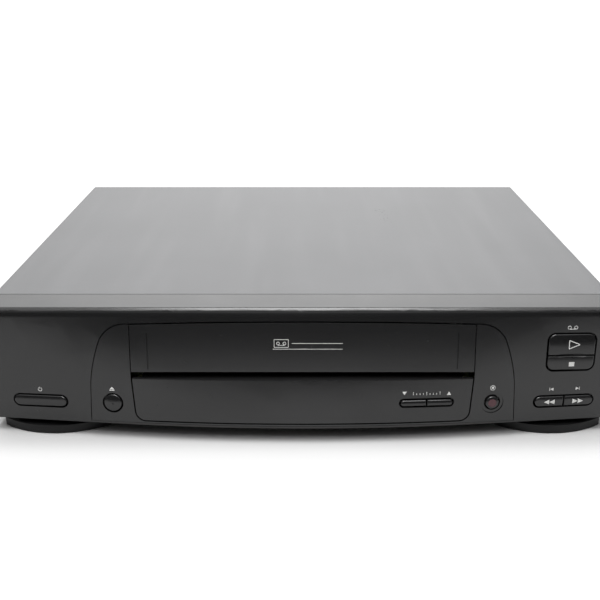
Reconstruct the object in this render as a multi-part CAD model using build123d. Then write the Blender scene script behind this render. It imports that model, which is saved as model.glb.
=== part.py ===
from build123d import *
from math import atan2, cos, degrees, hypot, pi, radians, sin, sqrt
import os

# A front-loading video cassette recorder, in millimetres.
# +X is the right of someone who faces the machine, the face looks along -Y, and +Z is up.
# Pieces are drawn with y = 0 at the top edge of the face and z = 0 at the floor. They are moved
# together at the end, so that the origin is the middle of the bottom of the whole machine.
# "below" is a height measured down from the top of the machine.

# ---------------------------------------------------------------- heights, from the floor up
FOOT_HEIGHT = 9.0
WALL = 2.5                  # wall of the mouldings
LEDGE_HEIGHT = 1.5          # the cover's sides end just above this ledge of the tray
TRAY_WALL_HEIGHT = 18.5
DECK_RISE = 12.5            # from the floor of the tray to the underside of the deck
DECK_WALL = 1.6
SILL_RISE = 14.8            # from the underside of the deck to the sill of the cassette slot
SLOT_SILL = 41.6            # from that sill to the top of the machine

# ---------------------------------------------------------------- the cassette and its holder
CASSETTE_HALF = 94.2        # half of a 188 mm cassette, and its running clearance
CASSETTE_HEIGHT = 25.3
SHEET = 1.0                 # sheet of the carriage and the holder
FLOOR_GAP = 0.4             # from the sill up to the floor of the holder
HOLDER_FRONT = 36.0
HOLDER_DEPTH = 94.0
HOLDER_LIP = 14.0
HOLDER_STOP = 6.0
HOLDER_WINDOW = 36.0
HOLDER_DROP = 12.0
CARRIAGE_TRAVEL = 45.0
CHEEK_GAP = 1.7             # from the holder to the cheeks of the carriage
CARRIAGE_HEADROOM = 2.1     # from the holder up to the bar of the carriage
CARRIAGE_CLEARANCE = 2.4    # from the deck up to its cheeks
CARRIAGE_BAR = 24.0
CARRIAGE_BAR_BACK = 14.0    # from the bar to the back of the holder
BRACKET_GAP = 1.5           # from those cheeks to the side brackets
BRACKET_WALL = 1.2
BRACKET_LEAD = 6.0          # the brackets start this far ahead of the holder
BRACKET_TAIL = 6.0          # and end this far behind its last place
BRACKET_HEIGHT = 46.4
GUIDE_PIN_RISE = 18.4       # pins of the carriage, above the floor of the holder
GUIDE_PIN_INSET = (10.0, 6.0)
LIFT_PIN_RISE = 5.9         # pins of the holder, above its floor
LIFT_PIN_INSET = (26.0, 22.0)
GUIDE_PIN_RADIUS = 1.8
GUIDE_CLEARANCE = 0.2

# ---------------------------------------------------------------- the tape deck
DECK_MARGIN = 3.4           # from the side brackets to the edges of the deck
DECK_FRONT = 44.0
DECK_WINDOW = 32.0
PILLAR_INSET = 8.0
PILLAR_RADIUS = 5.0
REEL_X = 46.0
REEL_BACK = 60.0            # from the reels to the back of the brackets
REEL_RADIUS = 15.0
REEL_FLANGE = 1.4
REEL_HUB = 4.6
REEL_FIN = 1.5              # the three fins stand this far out of the hub
REEL_FIN_WALL = 1.6
REEL_SPINDLE = 1.6
SPINDLE_TIP = 0.6           # the spindles stand this far out of the reels
RUNNING_FIT = 0.05
FLOAT = 0.3                 # the gap under a part that turns just above another
DRUM_X = -6.0
DRUM_BEHIND = 44.0          # from the back of the brackets to the middle of the drum
DRUM_RADIUS = 31.0
DRUM_TILT = 6.0
DRUM_LEDGE = 1.0
LOWER_DRUM = 17.0
UPPER_DRUM = 15.0
DRUM_RIM = 9.3
DRUM_DISH = 3.75
DRUM_CHAMFER = 1.0
DRUM_SHAFT = 3.0            # radius of its shaft, which starts this far above the deck
DRUM_SHAFT_FOOT = 4.0
HEAD_WINDOW = (3.0, 5.0, 6.0)
CAPSTAN_FROM_DRUM = (78.0, -40.0)
CAPSTAN_RADIUS = 1.6
CAPSTAN_RISE = 24.4
FLYWHEEL_RADIUS = 20.0
FLYWHEEL_WALL = 5.6
FLYWHEEL_RIM = 4.0
FLYWHEEL_CHAMFER = 0.8
FLYWHEEL_GAP = 3.2          # from the flywheel up to the deck
COLLAR_WALL = 1.5
STATOR_RADIUS = 15.0
STATOR_WALL = 1.0
STATOR_GAP = 0.6
COIL_RADIUS = 3.6
COIL_WALL = 0.8
COIL_COUNT = 6
BUSH_RADIUS = 4.0
BUSH_FLANGE = 2.8
BUSH_FLANGE_WALL = 1.5
BUSH_RISE = 7.4
PINCH_FROM_CAPSTAN = (22.0, 12.0)
PINCH_ARM = 22.0
PINCH_RADIUS = 7.0
PINCH_RISE = 9.9            # from the deck to the foot of the pinch roller
PINCH_HEIGHT = 14.0
PINCH_SWING = 30.0
PINCH_ARM_RISE = 4.4
PINCH_ARM_WALL = 2.0
PINCH_ARM_WIDTH = 6.0
PINCH_CLEARANCE = 0.3
PINCH_ROUND = 0.8
PINCH_SLEEVE_DROP = 8.0     # from the top of the roller down to the top of the arm's sleeve
PINCH_POST_DROP = 6.0       # and down to the top of the post inside it
PINCH_PIN_TIP = 1.5         # the roller's pin stands this far out of it
POST_RADIUS = 2.0
TAPE_RISE = 19.4            # from the deck to the top of the guides and the tape posts
TAPE_POST_RADIUS = 1.5
TAPE_POSTS_FROM_DRUM = ((-70.0, -36.0), (64.0, -38.0))
GUIDE_RADIUS = 90.0         # the guide rollers ride on arcs of this radius
GUIDE_REST = (48.0, -54.0)  # from the middle of the drum, at rest
GUIDE_LOADED = (38.0, 10.0)
GUIDE_SLOT = 3.4
GUIDE_ROLLER = 3.0
GUIDE_SPINDLE = 1.2
GUIDE_CAP = 2.0
GUIDE_BASE_RADIUS = 5.5
GUIDE_BASE_WALL = 3.0
ERASE_HEAD_FROM_DRUM = (-62.0, -20.0)
ERASE_HEAD = (8.0, 7.0)     # width and depth
AUDIO_HEAD_FROM_DRUM = (63.0, -22.0)
AUDIO_HEAD = (9.0, 8.0)
HEAD_HEIGHT = 16.0
HEAD_FOOT = 4.0
HEAD_TAIL = 6.0
HEAD_EDGE = 1.0
CAM_FROM_DRUM = (-78.0, 6.0)
CAM_RADIUS = 14.0
CAM_RIM = 4.2
CAM_TEETH = 32
CAM_TOOTH = 1.6
CAM_RISE = 10.4
CAM_WALL = 5.0
CAM_TIP = 1.5               # its post stands this far out of it
WORM_RADIUS = 3.5
WORM_LENGTH = 14.0
WORM_THREADS = 5
WORM_SHAFT = 1.0            # radius of the shaft, and how far it stands out at each end
WORM_TIP = 3.0
WORM_TAIL = 4.0
MOTOR_RADIUS = 11.0
MOTOR_LENGTH = 20.0
MOTOR_BOSS = 3.0
DRUM_MARGIN = 11.0          # from the drum to the back of the deck
BACK_ROOM = 17.0            # from the deck to the back of the cover

# ---------------------------------------------------------------- boards, beside the deck
BOARD_GAP = 5.0             # from the deck to the flat boards
PCB_WIDTH = 75.0
PCB_MARGIN = 6.0            # from the boards to the sides of the machine
PCB_RISE = 2.5              # above the floor of the tray
PCB_WALL = 1.6
PCB_BOSS_INSET = 6.0
MAIN_BOARD_FRONT = 34.0
SUPPLY_BOARD_DEPTH = 127.0
BOARD_BACK_GAP = 8.0
CHIP_HEIGHT = 4.0
CHIPS = ((21, 26, 34, 12), (41, 58, 14, 36), (16, 96, 20, 20), (51, 116, 26, 10))
CANS = ((11, 56, 4, 12), (63, 36, 4, 12), (63, 81, 5, 15), (31, 141, 5, 15), (56, 161, 6, 18))
SHIELD = (7.0, 71.0, 171.0, 194.0, 14.0)    # x from, x to, y from, y to, height
SUPPLY_CANS = ((15, 112, 8, 26), (15, 90, 6, 20), (61, 18, 8, 28), (13, 18, 6, 18))
HEAT_SINK = (25.0, 43.0, 26.0, 29.0, 34.0)
SINK_FINS = 4
SINK_PITCH = 5.0
SINK_FIN = (1.5, 11.0)      # wall and depth
CORE = (40.0, 30.0, 36.0)   # the core of the transformer: width, depth, height
CORE_PLACE = (47.0, 71.0)
CORE_LIMB = 6.0
COIL_OVERHANG = 5.0
COIL_SLACK = 1.0
COIL_ROUND = 4.0

# ---------------------------------------------------------------- the back
PANEL_WALL = 1.2
COVER_GAUGE = 0.8
COVER_BEND = 2.4
COVER_GAP = 0.5             # between the bezel and the front edge of the cover
REAR_LIP = 12.0             # the fold at the back of the cover
FIT = 0.3                   # clearance between fixed pieces that drop into each other
JACK_REACH = 8.0            # the aerial jacks stand this far out of the back
TUNER_INSET = (17.0, 8.0)   # from the edges of the main board
TUNER_DEPTH = 49.0
TUNER_RISE = 8.0            # above that board
TUNER_HEIGHT = 32.0
TUNER_LEG = 1.5             # half the width of its two legs
AERIAL_PITCH = 22.0
AERIAL_RISE = 29.0          # above the feet
AERIAL_RADIUS = 4.7
AERIAL_BORE = 3.3
AERIAL_PIN = 1.5
HEX_RADIUS = 6.8
HEX_WALL = 2.0
SWITCH_SLOT = (9.0, 4.0)    # the channel switch, on the aerial module: width and height
SWITCH_KNOB = (3.6, 3.2)
SWITCH_RISE = 39.0          # above the feet
SWITCH_TRAVEL = 4.0
SWITCH_POCKET = (12.0, 5.6, 3.4)    # the room behind the slot: width, height and depth
SWITCH_PLAY = 0.3
SWITCH_REACH = 2.0
AV_INSET = (36.0, 16.0)     # columns of jacks, from the edge of the deck
AV_RISE = (23.0, 43.0)      # rows of jacks, above the feet
AV_JACK_RADIUS = 4.15
AV_JACK_BORE = 1.8
AV_COLLAR = 2.0
AV_COLLAR_WALL = 1.5
AV_MARGIN = 9.0
AV_REACH = 7.0
AV_WALL = 4.0               # the block starts half of this behind the deck
INLET_INSET = 40.0
INLET_RISE = 21.0
INLET_WIDTH = 24.0
INLET_HEIGHT = 13.0
INLET_CORNER = 3.0
INLET_DEPTH = 14.0
INLET_PINS = (4.3, 1.2)     # half their pitch, and their radius
PIN_INSET = 3.0             # they end this far inside it
VENT_LENGTH = 40.0
VENT_WIDTH = 3.0
VENT_PITCH = 8.0
VENT_COUNT = 9
SIDE_VENT_LENGTH = 22.0
SIDE_VENT_WIDTH = 2.5
SIDE_VENT_PITCH = 7.0
SIDE_VENT_COUNT = 10
SCREW_HEAD = 3.6
SCREW_HEAD_HEIGHT = 1.8
SCREW_SHANK = 1.5
SCREW_LENGTH = 6.0
SCREW_SLOT = (0.8, 0.9)     # width and depth

# ---------------------------------------------------------------- the bezel
BEZEL_DEPTH = 22.7          # the strip of bezel in front of the cover
FACE_BOW = 16.2             # the foot of the face stands this far ahead of its top edge
BOW_RADIUS = 1060.0         # seen from above, the middle of the foot is an arc of this radius
BOW_HALF = 110.0            # half the length of that arc, with straight wings beyond it
FACE_CROWN = 1.2            # how far the face swells ahead of straight lines from top to foot
NOSE_RADIUS = 3.0
SIDE_RADIUS = 1.5
TUCK_DEPTH = 5.0            # the bezel's lip that reaches under the cover
FOOT_INSET = 37.3           # from the middle of a front foot to the side of the machine
FOOT_HALF = 33.0
FOOT_FRONT = 7.2            # the front of a foot, ahead of the top edge of the face
FOOT_CORNER = 3.4           # where its curved front ends, behind that edge
FOOT_BACK = 34.0
FOOT_FLANGE = 5.8
FOOT_NECK_INSET = 6.0
FOOT_UPRIGHT_ROUND = 2.0
FOOT_CHAMFER = 0.6
REAR_FOOT_RADIUS = 12.0
REAR_FOOT_INSET = 34.0
REAR_FOOT_CHAMFER = 1.0

# ---------------------------------------------------------------- the centre of the face
PANEL_PROUD = 0.8           # the centre panel stands ahead of the bezel
PANEL_GAP = 0.5             # the line round it
SILL_GAP = 0.6              # and round the lower panel
FLAP_MARGIN = 7.8           # the flap is this much wider than the cassette, on each side
FLAP_GAP = 0.4              # at its sides
FLAP_HEAD_GAP = 0.8         # and along its top
FLAP_WALL = 2.2
MOUTH_HEIGHT = 4.0          # the dark gap between the flap and the sill
ARCH_FOOT = (26.3, 1.4)     # beyond the flap, and above the foot of the face
ARCH_SIDE = (25.0, 45.0)    # beyond the flap, and below the top of the machine
ARCH_SHOULDER = (18.4, 18.4)
ARCH_HEAD = (3.0, 8.9)
ARCH_TOP = 7.3
SIDE_SWELL = 0.9            # how far the two curves of each shoulder bulge from their chords
SHOULDER_SWELL = 2.6
PIVOT_BELOW = 12.4
PIVOT_BEHIND = 2.8          # the pivot is this far behind the front of the flap
PIN_RADIUS = 1.3
PIN_CLEARANCE = 0.08
EAR_RADIUS = 2.3
EAR_WALL = 2.2
SILL_TAPER = (0.2, 2.1)     # the lower panel is narrower than the flap by this, top and foot
SILL_FOOT = 3.4             # above the foot of the face
SILL_CORNER = 6.0
SHELF_MARGIN = 1.8          # the shelf under the slot is wider than the cassette by this
SHELF_WALL = 2.2
SHELF_GAP = 3.0             # from the shelf back to the holder
RIB_INSET = 10.2            # the two engraved upright lines on the flap, from its sides
RIB_TOP = 14.3
RIB_FOOT = 2.0              # above the foot of the flap
RIB_WIDTH = 0.5
RIB_DEPTH = 0.35

# ---------------------------------------------------------------- the keys
POWER_INSET = 31.2          # from the middle of each key to the side of the machine
PLAY_INSET = 30.2
WIND_INSET = 31.8
EJECT_BEYOND = 12.0         # from the side of the flap
RECORD_BEYOND = 12.0
CHANNEL_WITHIN = 27.9
POWER_RISE = 13.2           # from the foot of the face
EJECT_RISE = 14.0
RECORD_RISE = 14.2
CHANNEL_RISE = 15.5
WIND_RISE = 13.0
PLAY_BELOW = 26.8           # from the top of the machine
POWER_SIZE = (33.9, 8.7)
EJECT_SIZE = 12.6
RECORD_SIZE = 9.9
CHANNEL_SIZE = (32.8, 5.4)
WIND_SIZE = (37.6, 8.3)
PLAY_SIZE = (29.6, 24.3)
PLAY_CORNER = 5.0
PLAY_SPLIT = 1.9            # the line between play and stop, below the middle of the pair
BUTTON_GAP = 0.9            # the dark line round a key
BUTTON_SPLIT = 0.6          # and between the two halves of a pair
BUTTON_PROUD = 0.8
BUTTON_ROUND = 0.8
BUTTON_SKIRT = 1.2          # thickness of the flange that keeps a key in its hole
BUTTON_LIP = 1.2            # how far that flange reaches past the hole
BUTTON_TRAVEL = 0.8
STEM_RADIUS = 1.6
LONG_CROWN = 12.0           # radius of the crown of each kind of key, from top to foot
ROUND_CROWN = 22.0
CHANNEL_CROWN = 6.0
PLAY_CROWN = 90.0
NICK_LENGTH = 21.8          # the lens-shaped nick for a finger between play and stop
NICK_RADIUS = 1.3
NICK_DEPTH = 0.9
DISH_RADIUS = 6.8           # the finger dish round the record key
DISH_DEPTH = 0.6
BOARD_FRONT = 10.0          # the upright switch board behind the face
BOARD_WALL = 1.6
BOARD_BELOW_SILL = 5.2
BOARD_RISE = 2.5            # above the floor of the tray
TOWER_BELOW = 8.4           # from the top of the machine down to the top of its tower
BOSS_INNER = 5.7            # bosses of the switch board, beyond the centre panel
BOSS_INSET = 8.5            # and from the sides of the machine
BOSS_RADIUS = 3.0
SWITCH_SIZE = 6.0
SWITCH_BODY = 3.5
PLUNGER_LENGTH = 1.0
PLUNGER_RADIUS = 1.7

# ---------------------------------------------------------------- values worked out from those
FLOOR_TOP = FOOT_HEIGHT + WALL
LEDGE_TOP = FLOOR_TOP + LEDGE_HEIGHT
TRAY_WALL_TOP = FLOOR_TOP + TRAY_WALL_HEIGHT
DECK_Z = FLOOR_TOP + DECK_RISE
DECK_TOP = DECK_Z + DECK_WALL
SILL_Z = DECK_Z + SILL_RISE
TOP = SILL_Z + SLOT_SILL
FACE_HEIGHT = TOP - FOOT_HEIGHT
PIVOT_Z = TOP - PIVOT_BELOW

HOLDER_FLOOR = SILL_Z + FLOOR_GAP
HOLDER_TOP = HOLDER_FLOOR + CASSETTE_HEIGHT
HOLDER_BACK = HOLDER_FRONT + HOLDER_DEPTH
CARRIAGE_X = CASSETTE_HALF + SHEET + CHEEK_GAP
CARRIAGE_TOP = HOLDER_TOP + SHEET + CARRIAGE_HEADROOM
CARRIAGE_FOOT = DECK_TOP + CARRIAGE_CLEARANCE
GUIDE_PIN_Z = HOLDER_FLOOR + GUIDE_PIN_RISE
GUIDE_PINS = (HOLDER_FRONT + GUIDE_PIN_INSET[0], HOLDER_BACK - GUIDE_PIN_INSET[1])
LIFT_PIN_Z = HOLDER_FLOOR + LIFT_PIN_RISE
LIFT_PINS = (HOLDER_FRONT + LIFT_PIN_INSET[0], HOLDER_BACK - LIFT_PIN_INSET[1])
BRACKET_X = CARRIAGE_X + SHEET + BRACKET_GAP
BRACKET_FRONT = HOLDER_FRONT - BRACKET_LEAD
BRACKET_BACK = HOLDER_BACK + SHEET + CARRIAGE_TRAVEL + BRACKET_TAIL
BRACKET_TOP = DECK_TOP + BRACKET_HEIGHT
SHELF_HALF = CASSETTE_HALF + SHELF_MARGIN
SHELF_END = HOLDER_FRONT - SHELF_GAP

REEL_Y = BRACKET_BACK - REEL_BACK
REEL_TOP = HOLDER_FLOOR - SHEET - GUIDE_CLEARANCE
SPINDLE_TOP = REEL_TOP + SPINDLE_TIP
DRUM_Y = BRACKET_BACK + DRUM_BEHIND
DECK_HALF = BRACKET_X + BRACKET_WALL + DECK_MARGIN
DECK_BACK = DRUM_Y + DRUM_RADIUS + DRUM_MARGIN
PILLAR_X = DECK_HALF - PILLAR_INSET
CAPSTAN = (DRUM_X + CAPSTAN_FROM_DRUM[0], DRUM_Y + CAPSTAN_FROM_DRUM[1])
PINCH_PIVOT = (CAPSTAN[0] + PINCH_FROM_CAPSTAN[0], CAPSTAN[1] + PINCH_FROM_CAPSTAN[1])
CAM_GEAR = (DRUM_X + CAM_FROM_DRUM[0], DRUM_Y + CAM_FROM_DRUM[1])
TAPE_TOP = DECK_TOP + TAPE_RISE
CAPSTAN_TOP = DECK_TOP + CAPSTAN_RISE
BUSH_TOP = DECK_TOP + BUSH_RISE
FLYWHEEL_TOP = DECK_Z - FLYWHEEL_GAP
FLYWHEEL_Z = FLYWHEEL_TOP - FLYWHEEL_WALL
STATOR_Z = FLYWHEEL_Z - STATOR_GAP - COIL_WALL - STATOR_WALL
PINCH_FOOT = DECK_TOP + PINCH_RISE
PINCH_TOP = PINCH_FOOT + PINCH_HEIGHT
PINCH_ARM_Z = DECK_TOP + PINCH_ARM_RISE
CAM_Z = DECK_TOP + CAM_RISE

PCB_INNER = DECK_HALF + BOARD_GAP
PCB_OUTER = PCB_INNER + PCB_WIDTH
PCB_Z = FLOOR_TOP + PCB_RISE
PCB_TOP = PCB_Z + PCB_WALL
HALF = PCB_OUTER + PCB_MARGIN
BODY_DEPTH = DECK_BACK + BACK_ROOM          # from the top edge of the face to the back
BOARD_BACK = BODY_DEPTH - BOARD_BACK_GAP
SUPPLY_BOARD_FRONT = BOARD_BACK - SUPPLY_BOARD_DEPTH
REAR_PANEL_BACK = BODY_DEPTH - COVER_GAUGE - FIT
REAR_PANEL_FRONT = REAR_PANEL_BACK - PANEL_WALL
COVER_FRONT = BEZEL_DEPTH + COVER_GAP
TUNER_X = (PCB_INNER + TUNER_INSET[0], PCB_OUTER - TUNER_INSET[1])
TUNER_Z = (PCB_Z + TUNER_RISE, PCB_Z + TUNER_RISE + TUNER_HEIGHT)
AERIAL_JACKS = [sum(TUNER_X) / 2 + side * AERIAL_PITCH / 2 for side in (-1, 1)]
AERIAL_Z = FOOT_HEIGHT + AERIAL_RISE
AV_JACKS_X = [DECK_HALF - inset for inset in AV_INSET]
AV_JACKS_Z = [FOOT_HEIGHT + rise for rise in AV_RISE]
AV_FRONT = DECK_BACK + AV_WALL / 2
INLET_X = INLET_INSET - HALF
INLET_Z = FOOT_HEIGHT + INLET_RISE
SWITCH_Z = FOOT_HEIGHT + SWITCH_RISE

FLAP_HALF = CASSETTE_HALF + FLAP_MARGIN
FLAP_FOOT = SLOT_SILL - MOUTH_HEIGHT
FOOT_X = HALF - FOOT_INSET
BOARD_TOP = SILL_Z - BOARD_BELOW_SILL
BOARD_FOOT = FLOOR_TOP + BOARD_RISE
TOWER_TOP = TOP - TOWER_BELOW
BOARD_BOSS_INNER = FLAP_HALF + ARCH_FOOT[0] + BOSS_INNER
BOARD_BOSS_OUTER = HALF - BOSS_INSET
SWITCH_FRONT = BOARD_FRONT - SWITCH_BODY - PLUNGER_LENGTH
STEM_END = SWITCH_FRONT - BUTTON_TRAVEL - GUIDE_CLEARANCE / 2

POWER_PLACE = (POWER_INSET - HALF, FACE_HEIGHT - POWER_RISE)
EJECT_PLACE = (-FLAP_HALF - EJECT_BEYOND, FACE_HEIGHT - EJECT_RISE)
RECORD_PLACE = (FLAP_HALF + RECORD_BEYOND, FACE_HEIGHT - RECORD_RISE)
CHANNEL_PLACE = (FLAP_HALF - CHANNEL_WITHIN, FACE_HEIGHT - CHANNEL_RISE)
WIND_PLACE = (HALF - WIND_INSET, FACE_HEIGHT - WIND_RISE)
PLAY_PLACE = (HALF - PLAY_INSET, PLAY_BELOW)

FAR = 60.0                  # well ahead of the face, for tools that cut through it
LOFT_MARGIN = 5.0
LOFT_BACK = 45.0


# ================================================================= helpers
def slab(x0, x1, y0, y1, z0, z1):
    """A block between two limits on each axis."""
    return Pos((x0 + x1) / 2, (y0 + y1) / 2, (z0 + z1) / 2) * Box(x1 - x0, y1 - y0, z1 - z0)


def post(place, z0, z1, radius):
    """An upright cylinder."""
    return Pos(place[0], place[1], (z0 + z1) / 2) * Cylinder(radius, z1 - z0)


def rod_x(y, z, x0, x1, radius):
    """A cylinder that lies across the machine."""
    return Pos((x0 + x1) / 2, y, z) * Rot(0, 90, 0) * Cylinder(radius, x1 - x0)


def rod_y(x, z, y0, y1, radius):
    """A cylinder that lies from front to back."""
    return Pos(x, (y0 + y1) / 2, z) * Rot(90, 0, 0) * Cylinder(radius, y1 - y0)


def both_sides(solid):
    """A solid and its mirror image on the other side of the machine."""
    return solid + mirror(solid, Plane.YZ)


def on_face(x, below):
    """A place on the front view, for outlines."""
    return Plane.XZ * Pos(x, TOP - below)


def prism(outline, y0, y1):
    """A front-view outline carried straight back from y0 to y1."""
    return extrude(Pos(0, y0, 0) * outline, amount=y1 - y0, dir=(0, 1, 0))


def view_window(x0, x1, below0, below1):
    """A rectangle on the front view."""
    return on_face((x0 + x1) / 2, (below0 + below1) / 2) * Rectangle(x1 - x0, below1 - below0)


# ================================================================= the curved face
def bow(x):
    """How far the foot of the face stands ahead of its top edge."""
    slope = BOW_HALF / sqrt(BOW_RADIUS**2 - BOW_HALF**2)
    inner = min(abs(x), BOW_HALF)
    arc = FACE_BOW - BOW_RADIUS + sqrt(BOW_RADIUS**2 - inner**2)
    return arc - slope * (abs(x) - inner)


def reach(x, below):
    """How far the face stands ahead of its top edge, at any height."""
    share = below / FACE_HEIGHT
    return share * bow(x) + 4 * FACE_CROWN * share * (1 - share)


def behind_face(ahead):
    """Everything behind the face, once the face is moved ahead by so much."""
    half = HALF + LOFT_MARGIN
    stations = [half * step / 5 for step in range(-5, 6)]
    sections = []
    for below in (0, FACE_HEIGHT / 2, FACE_HEIGHT):
        z = TOP - below
        front = Spline(*[(x, -reach(x, below) - ahead, z) for x in stations])
        back = Polyline(front @ 1, (half, LOFT_BACK, z), (-half, LOFT_BACK, z), front @ 0)
        sections.append(make_face(front.edges() + back.edges()))
    return loft(sections)


def arch_outline():
    """The front view of the opening in the bezel that the centre panel and the flap fill."""
    def at(place, side):
        return (side * (FLAP_HALF + place[0]), 0, TOP - place[1])

    def bulged(start, end, swell, side):
        """The middle of a curve that bulges outwards from its chord."""
        across, down = end[0] - start[0], end[1] - start[1]
        length = hypot(across, down)
        middle = ((start[0] + end[0]) / 2 - swell * down / length,
                  (start[1] + end[1]) / 2 + swell * across / length)
        return at(middle, side)

    foot = (ARCH_FOOT[0], FACE_HEIGHT - ARCH_FOOT[1])
    edges = [Line(at(foot, -1), at(foot, 1))]
    for side in (-1, 1):
        edges += [
            Line(at(foot, side), at(ARCH_SIDE, side)),
            ThreePointArc(at(ARCH_SIDE, side),
                          bulged(ARCH_SIDE, ARCH_SHOULDER, SIDE_SWELL, side),
                          at(ARCH_SHOULDER, side)),
            ThreePointArc(at(ARCH_SHOULDER, side),
                          bulged(ARCH_SHOULDER, ARCH_HEAD, SHOULDER_SWELL, side),
                          at(ARCH_HEAD, side)),
        ]
    edges.append(ThreePointArc(at(ARCH_HEAD, -1), (0, 0, TOP - ARCH_TOP), at(ARCH_HEAD, 1)))
    return make_face(edges)


def sill_outline():
    """The front view of the lower panel, below the cassette slot."""
    head, foot = [FLAP_HALF - taper for taper in SILL_TAPER]
    foot_z = FOOT_HEIGHT + SILL_FOOT
    corners = [(-head, 0, SILL_Z), (head, 0, SILL_Z), (foot, 0, foot_z), (-foot, 0, foot_z)]
    plain = make_face(Polyline(*corners, close=True))
    return fillet(plain.vertices().sort_by(Axis.Z)[:2], SILL_CORNER)


def power_hole():
    return on_face(*POWER_PLACE) * SlotOverall(*POWER_SIZE)


def eject_hole():
    return on_face(*EJECT_PLACE) * Circle(EJECT_SIZE / 2)


def record_hole():
    return on_face(*RECORD_PLACE) * Circle(RECORD_SIZE / 2)


def channel_hole():
    return on_face(*CHANNEL_PLACE) * SlotOverall(*CHANNEL_SIZE)


def wind_hole():
    return on_face(*WIND_PLACE) * SlotOverall(*WIND_SIZE)


def play_hole():
    return on_face(*PLAY_PLACE) * RectangleRounded(*PLAY_SIZE, PLAY_CORNER)


def face_plane(x, below, ahead):
    """A plane that touches the face: its x runs along the face, and its z points out of it."""
    along = reach(x + 0.5, below) - reach(x - 0.5, below)
    down = reach(x, below + 0.5) - reach(x, below - 0.5)
    return Plane(origin=(x, -reach(x, below) - ahead, TOP - below), x_dir=(1, -along, 0),
                 z_dir=(-along, -1, down))


# ================================================================= bezel and panels
def front_bezel():
    """The moulded front, open behind, with the openings for the panel and the outer buttons."""
    block = behind_face(0) & slab(-HALF, HALF, -FAR, BEZEL_DEPTH, FOOT_HEIGHT, TOP)
    nose = block.edges().filter_by(lambda e: abs(e.center().Z - TOP) < 0.01
                                   and abs(e.center().Y) < 0.5 and e.length > HALF)
    block = fillet(nose, NOSE_RADIUS)
    upright = block.edges().filter_by(lambda e: abs(abs(e.center().X) - HALF) < 0.01
                                      and e.center().Y < 0 and e.length > FACE_HEIGHT / 2)
    block = fillet(upright, SIDE_RADIUS)
    hollow = behind_face(-WALL) & slab(-HALF + WALL, HALF - WALL, -FAR, BEZEL_DEPTH + 1,
                                       FLOOR_TOP, TOP - WALL)
    shell = block - hollow
    tuck = HALF - COVER_GAUGE - FIT
    lip = slab(-tuck, tuck, BEZEL_DEPTH - WALL, BEZEL_DEPTH + TUCK_DEPTH,
               LEDGE_TOP + FIT, TOP - COVER_GAUGE - FIT)
    lip = fillet(lip.edges().filter_by(Axis.Y).group_by(Axis.Z)[-1], COVER_BEND - COVER_GAUGE)
    lip -= slab(-HALF + WALL, HALF - WALL, 0, BODY_DEPTH, 0, TOP - WALL)
    shell += lip
    for x, z in board_bosses():
        boss = rod_y(x, z, -reach(x, TOP - z), BOARD_FRONT, BOSS_RADIUS)
        shell += boss & behind_face(-WALL / 2)
    for outline in (arch_outline(), power_hole(), wind_hole(), play_hole()):
        shell -= prism(outline, -FAR, WALL)
    return shell


def board_bosses():
    """Where the bezel carries the switch board: x and z."""
    middle = (BOARD_TOP + BOARD_FOOT) / 2
    return [(-BOARD_BOSS_OUTER, middle), (-BOARD_BOSS_INNER, middle), (BOARD_BOSS_INNER, middle),
            (BOARD_BOSS_OUTER, middle), (BOARD_BOSS_OUTER, TOWER_TOP - 2 * BOSS_RADIUS)]


def face_layer(outline):
    """One wall of the raised centre of the face, within a front-view outline."""
    return (behind_face(PANEL_PROUD) - behind_face(PANEL_PROUD - WALL)) & prism(outline, -FAR,
                                                                                LOFT_BACK)


def pivot_y():
    """The pivot of the flap, from its front surface."""
    return PIVOT_BEHIND - PANEL_PROUD - reach(FLAP_HALF, PIVOT_BELOW)


def centre_panel():
    """The raised U round the flap and the lower panel, with the ears that hold the flap."""
    panel = face_layer(offset(arch_outline(), -PANEL_GAP))
    gap = view_window(-FLAP_HALF - FLAP_GAP, FLAP_HALF + FLAP_GAP, 0, SLOT_SILL + SILL_GAP)
    for outline in (gap, offset(sill_outline(), SILL_GAP), eject_hole(), record_hole()):
        panel -= prism(outline, -FAR, LOFT_BACK)
    dish = rod_y(RECORD_PLACE[0], TOP - RECORD_PLACE[1], -FAR, FAR, DISH_RADIUS)
    panel -= dish - behind_face(PANEL_PROUD - DISH_DEPTH)
    inner = FLAP_HALF + FLAP_GAP
    ear = slab(inner, inner + EAR_WALL, pivot_y() - EAR_RADIUS, pivot_y() + EAR_RADIUS,
               PIVOT_Z - 3 * EAR_RADIUS, PIVOT_Z)
    ear += rod_x(pivot_y(), PIVOT_Z, inner, inner + EAR_WALL, EAR_RADIUS)
    ear &= behind_face(PANEL_PROUD - WALL / 2)
    bore = rod_x(pivot_y(), PIVOT_Z, inner - 1, inner + EAR_WALL + 1, PIN_RADIUS + PIN_CLEARANCE)
    return panel + both_sides(ear) - both_sides(bore)


def lower_panel():
    """The bowed panel under the cassette slot, with its shelf for the cassette to slide over."""
    panel = face_layer(sill_outline())
    shelf = behind_face(PANEL_PROUD - WALL / 2) & slab(-SHELF_HALF, SHELF_HALF, -FAR, SHELF_END,
                                                       SILL_Z - SHELF_WALL, SILL_Z)
    return panel + shelf - prism(channel_hole(), -FAR, WALL)


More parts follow.
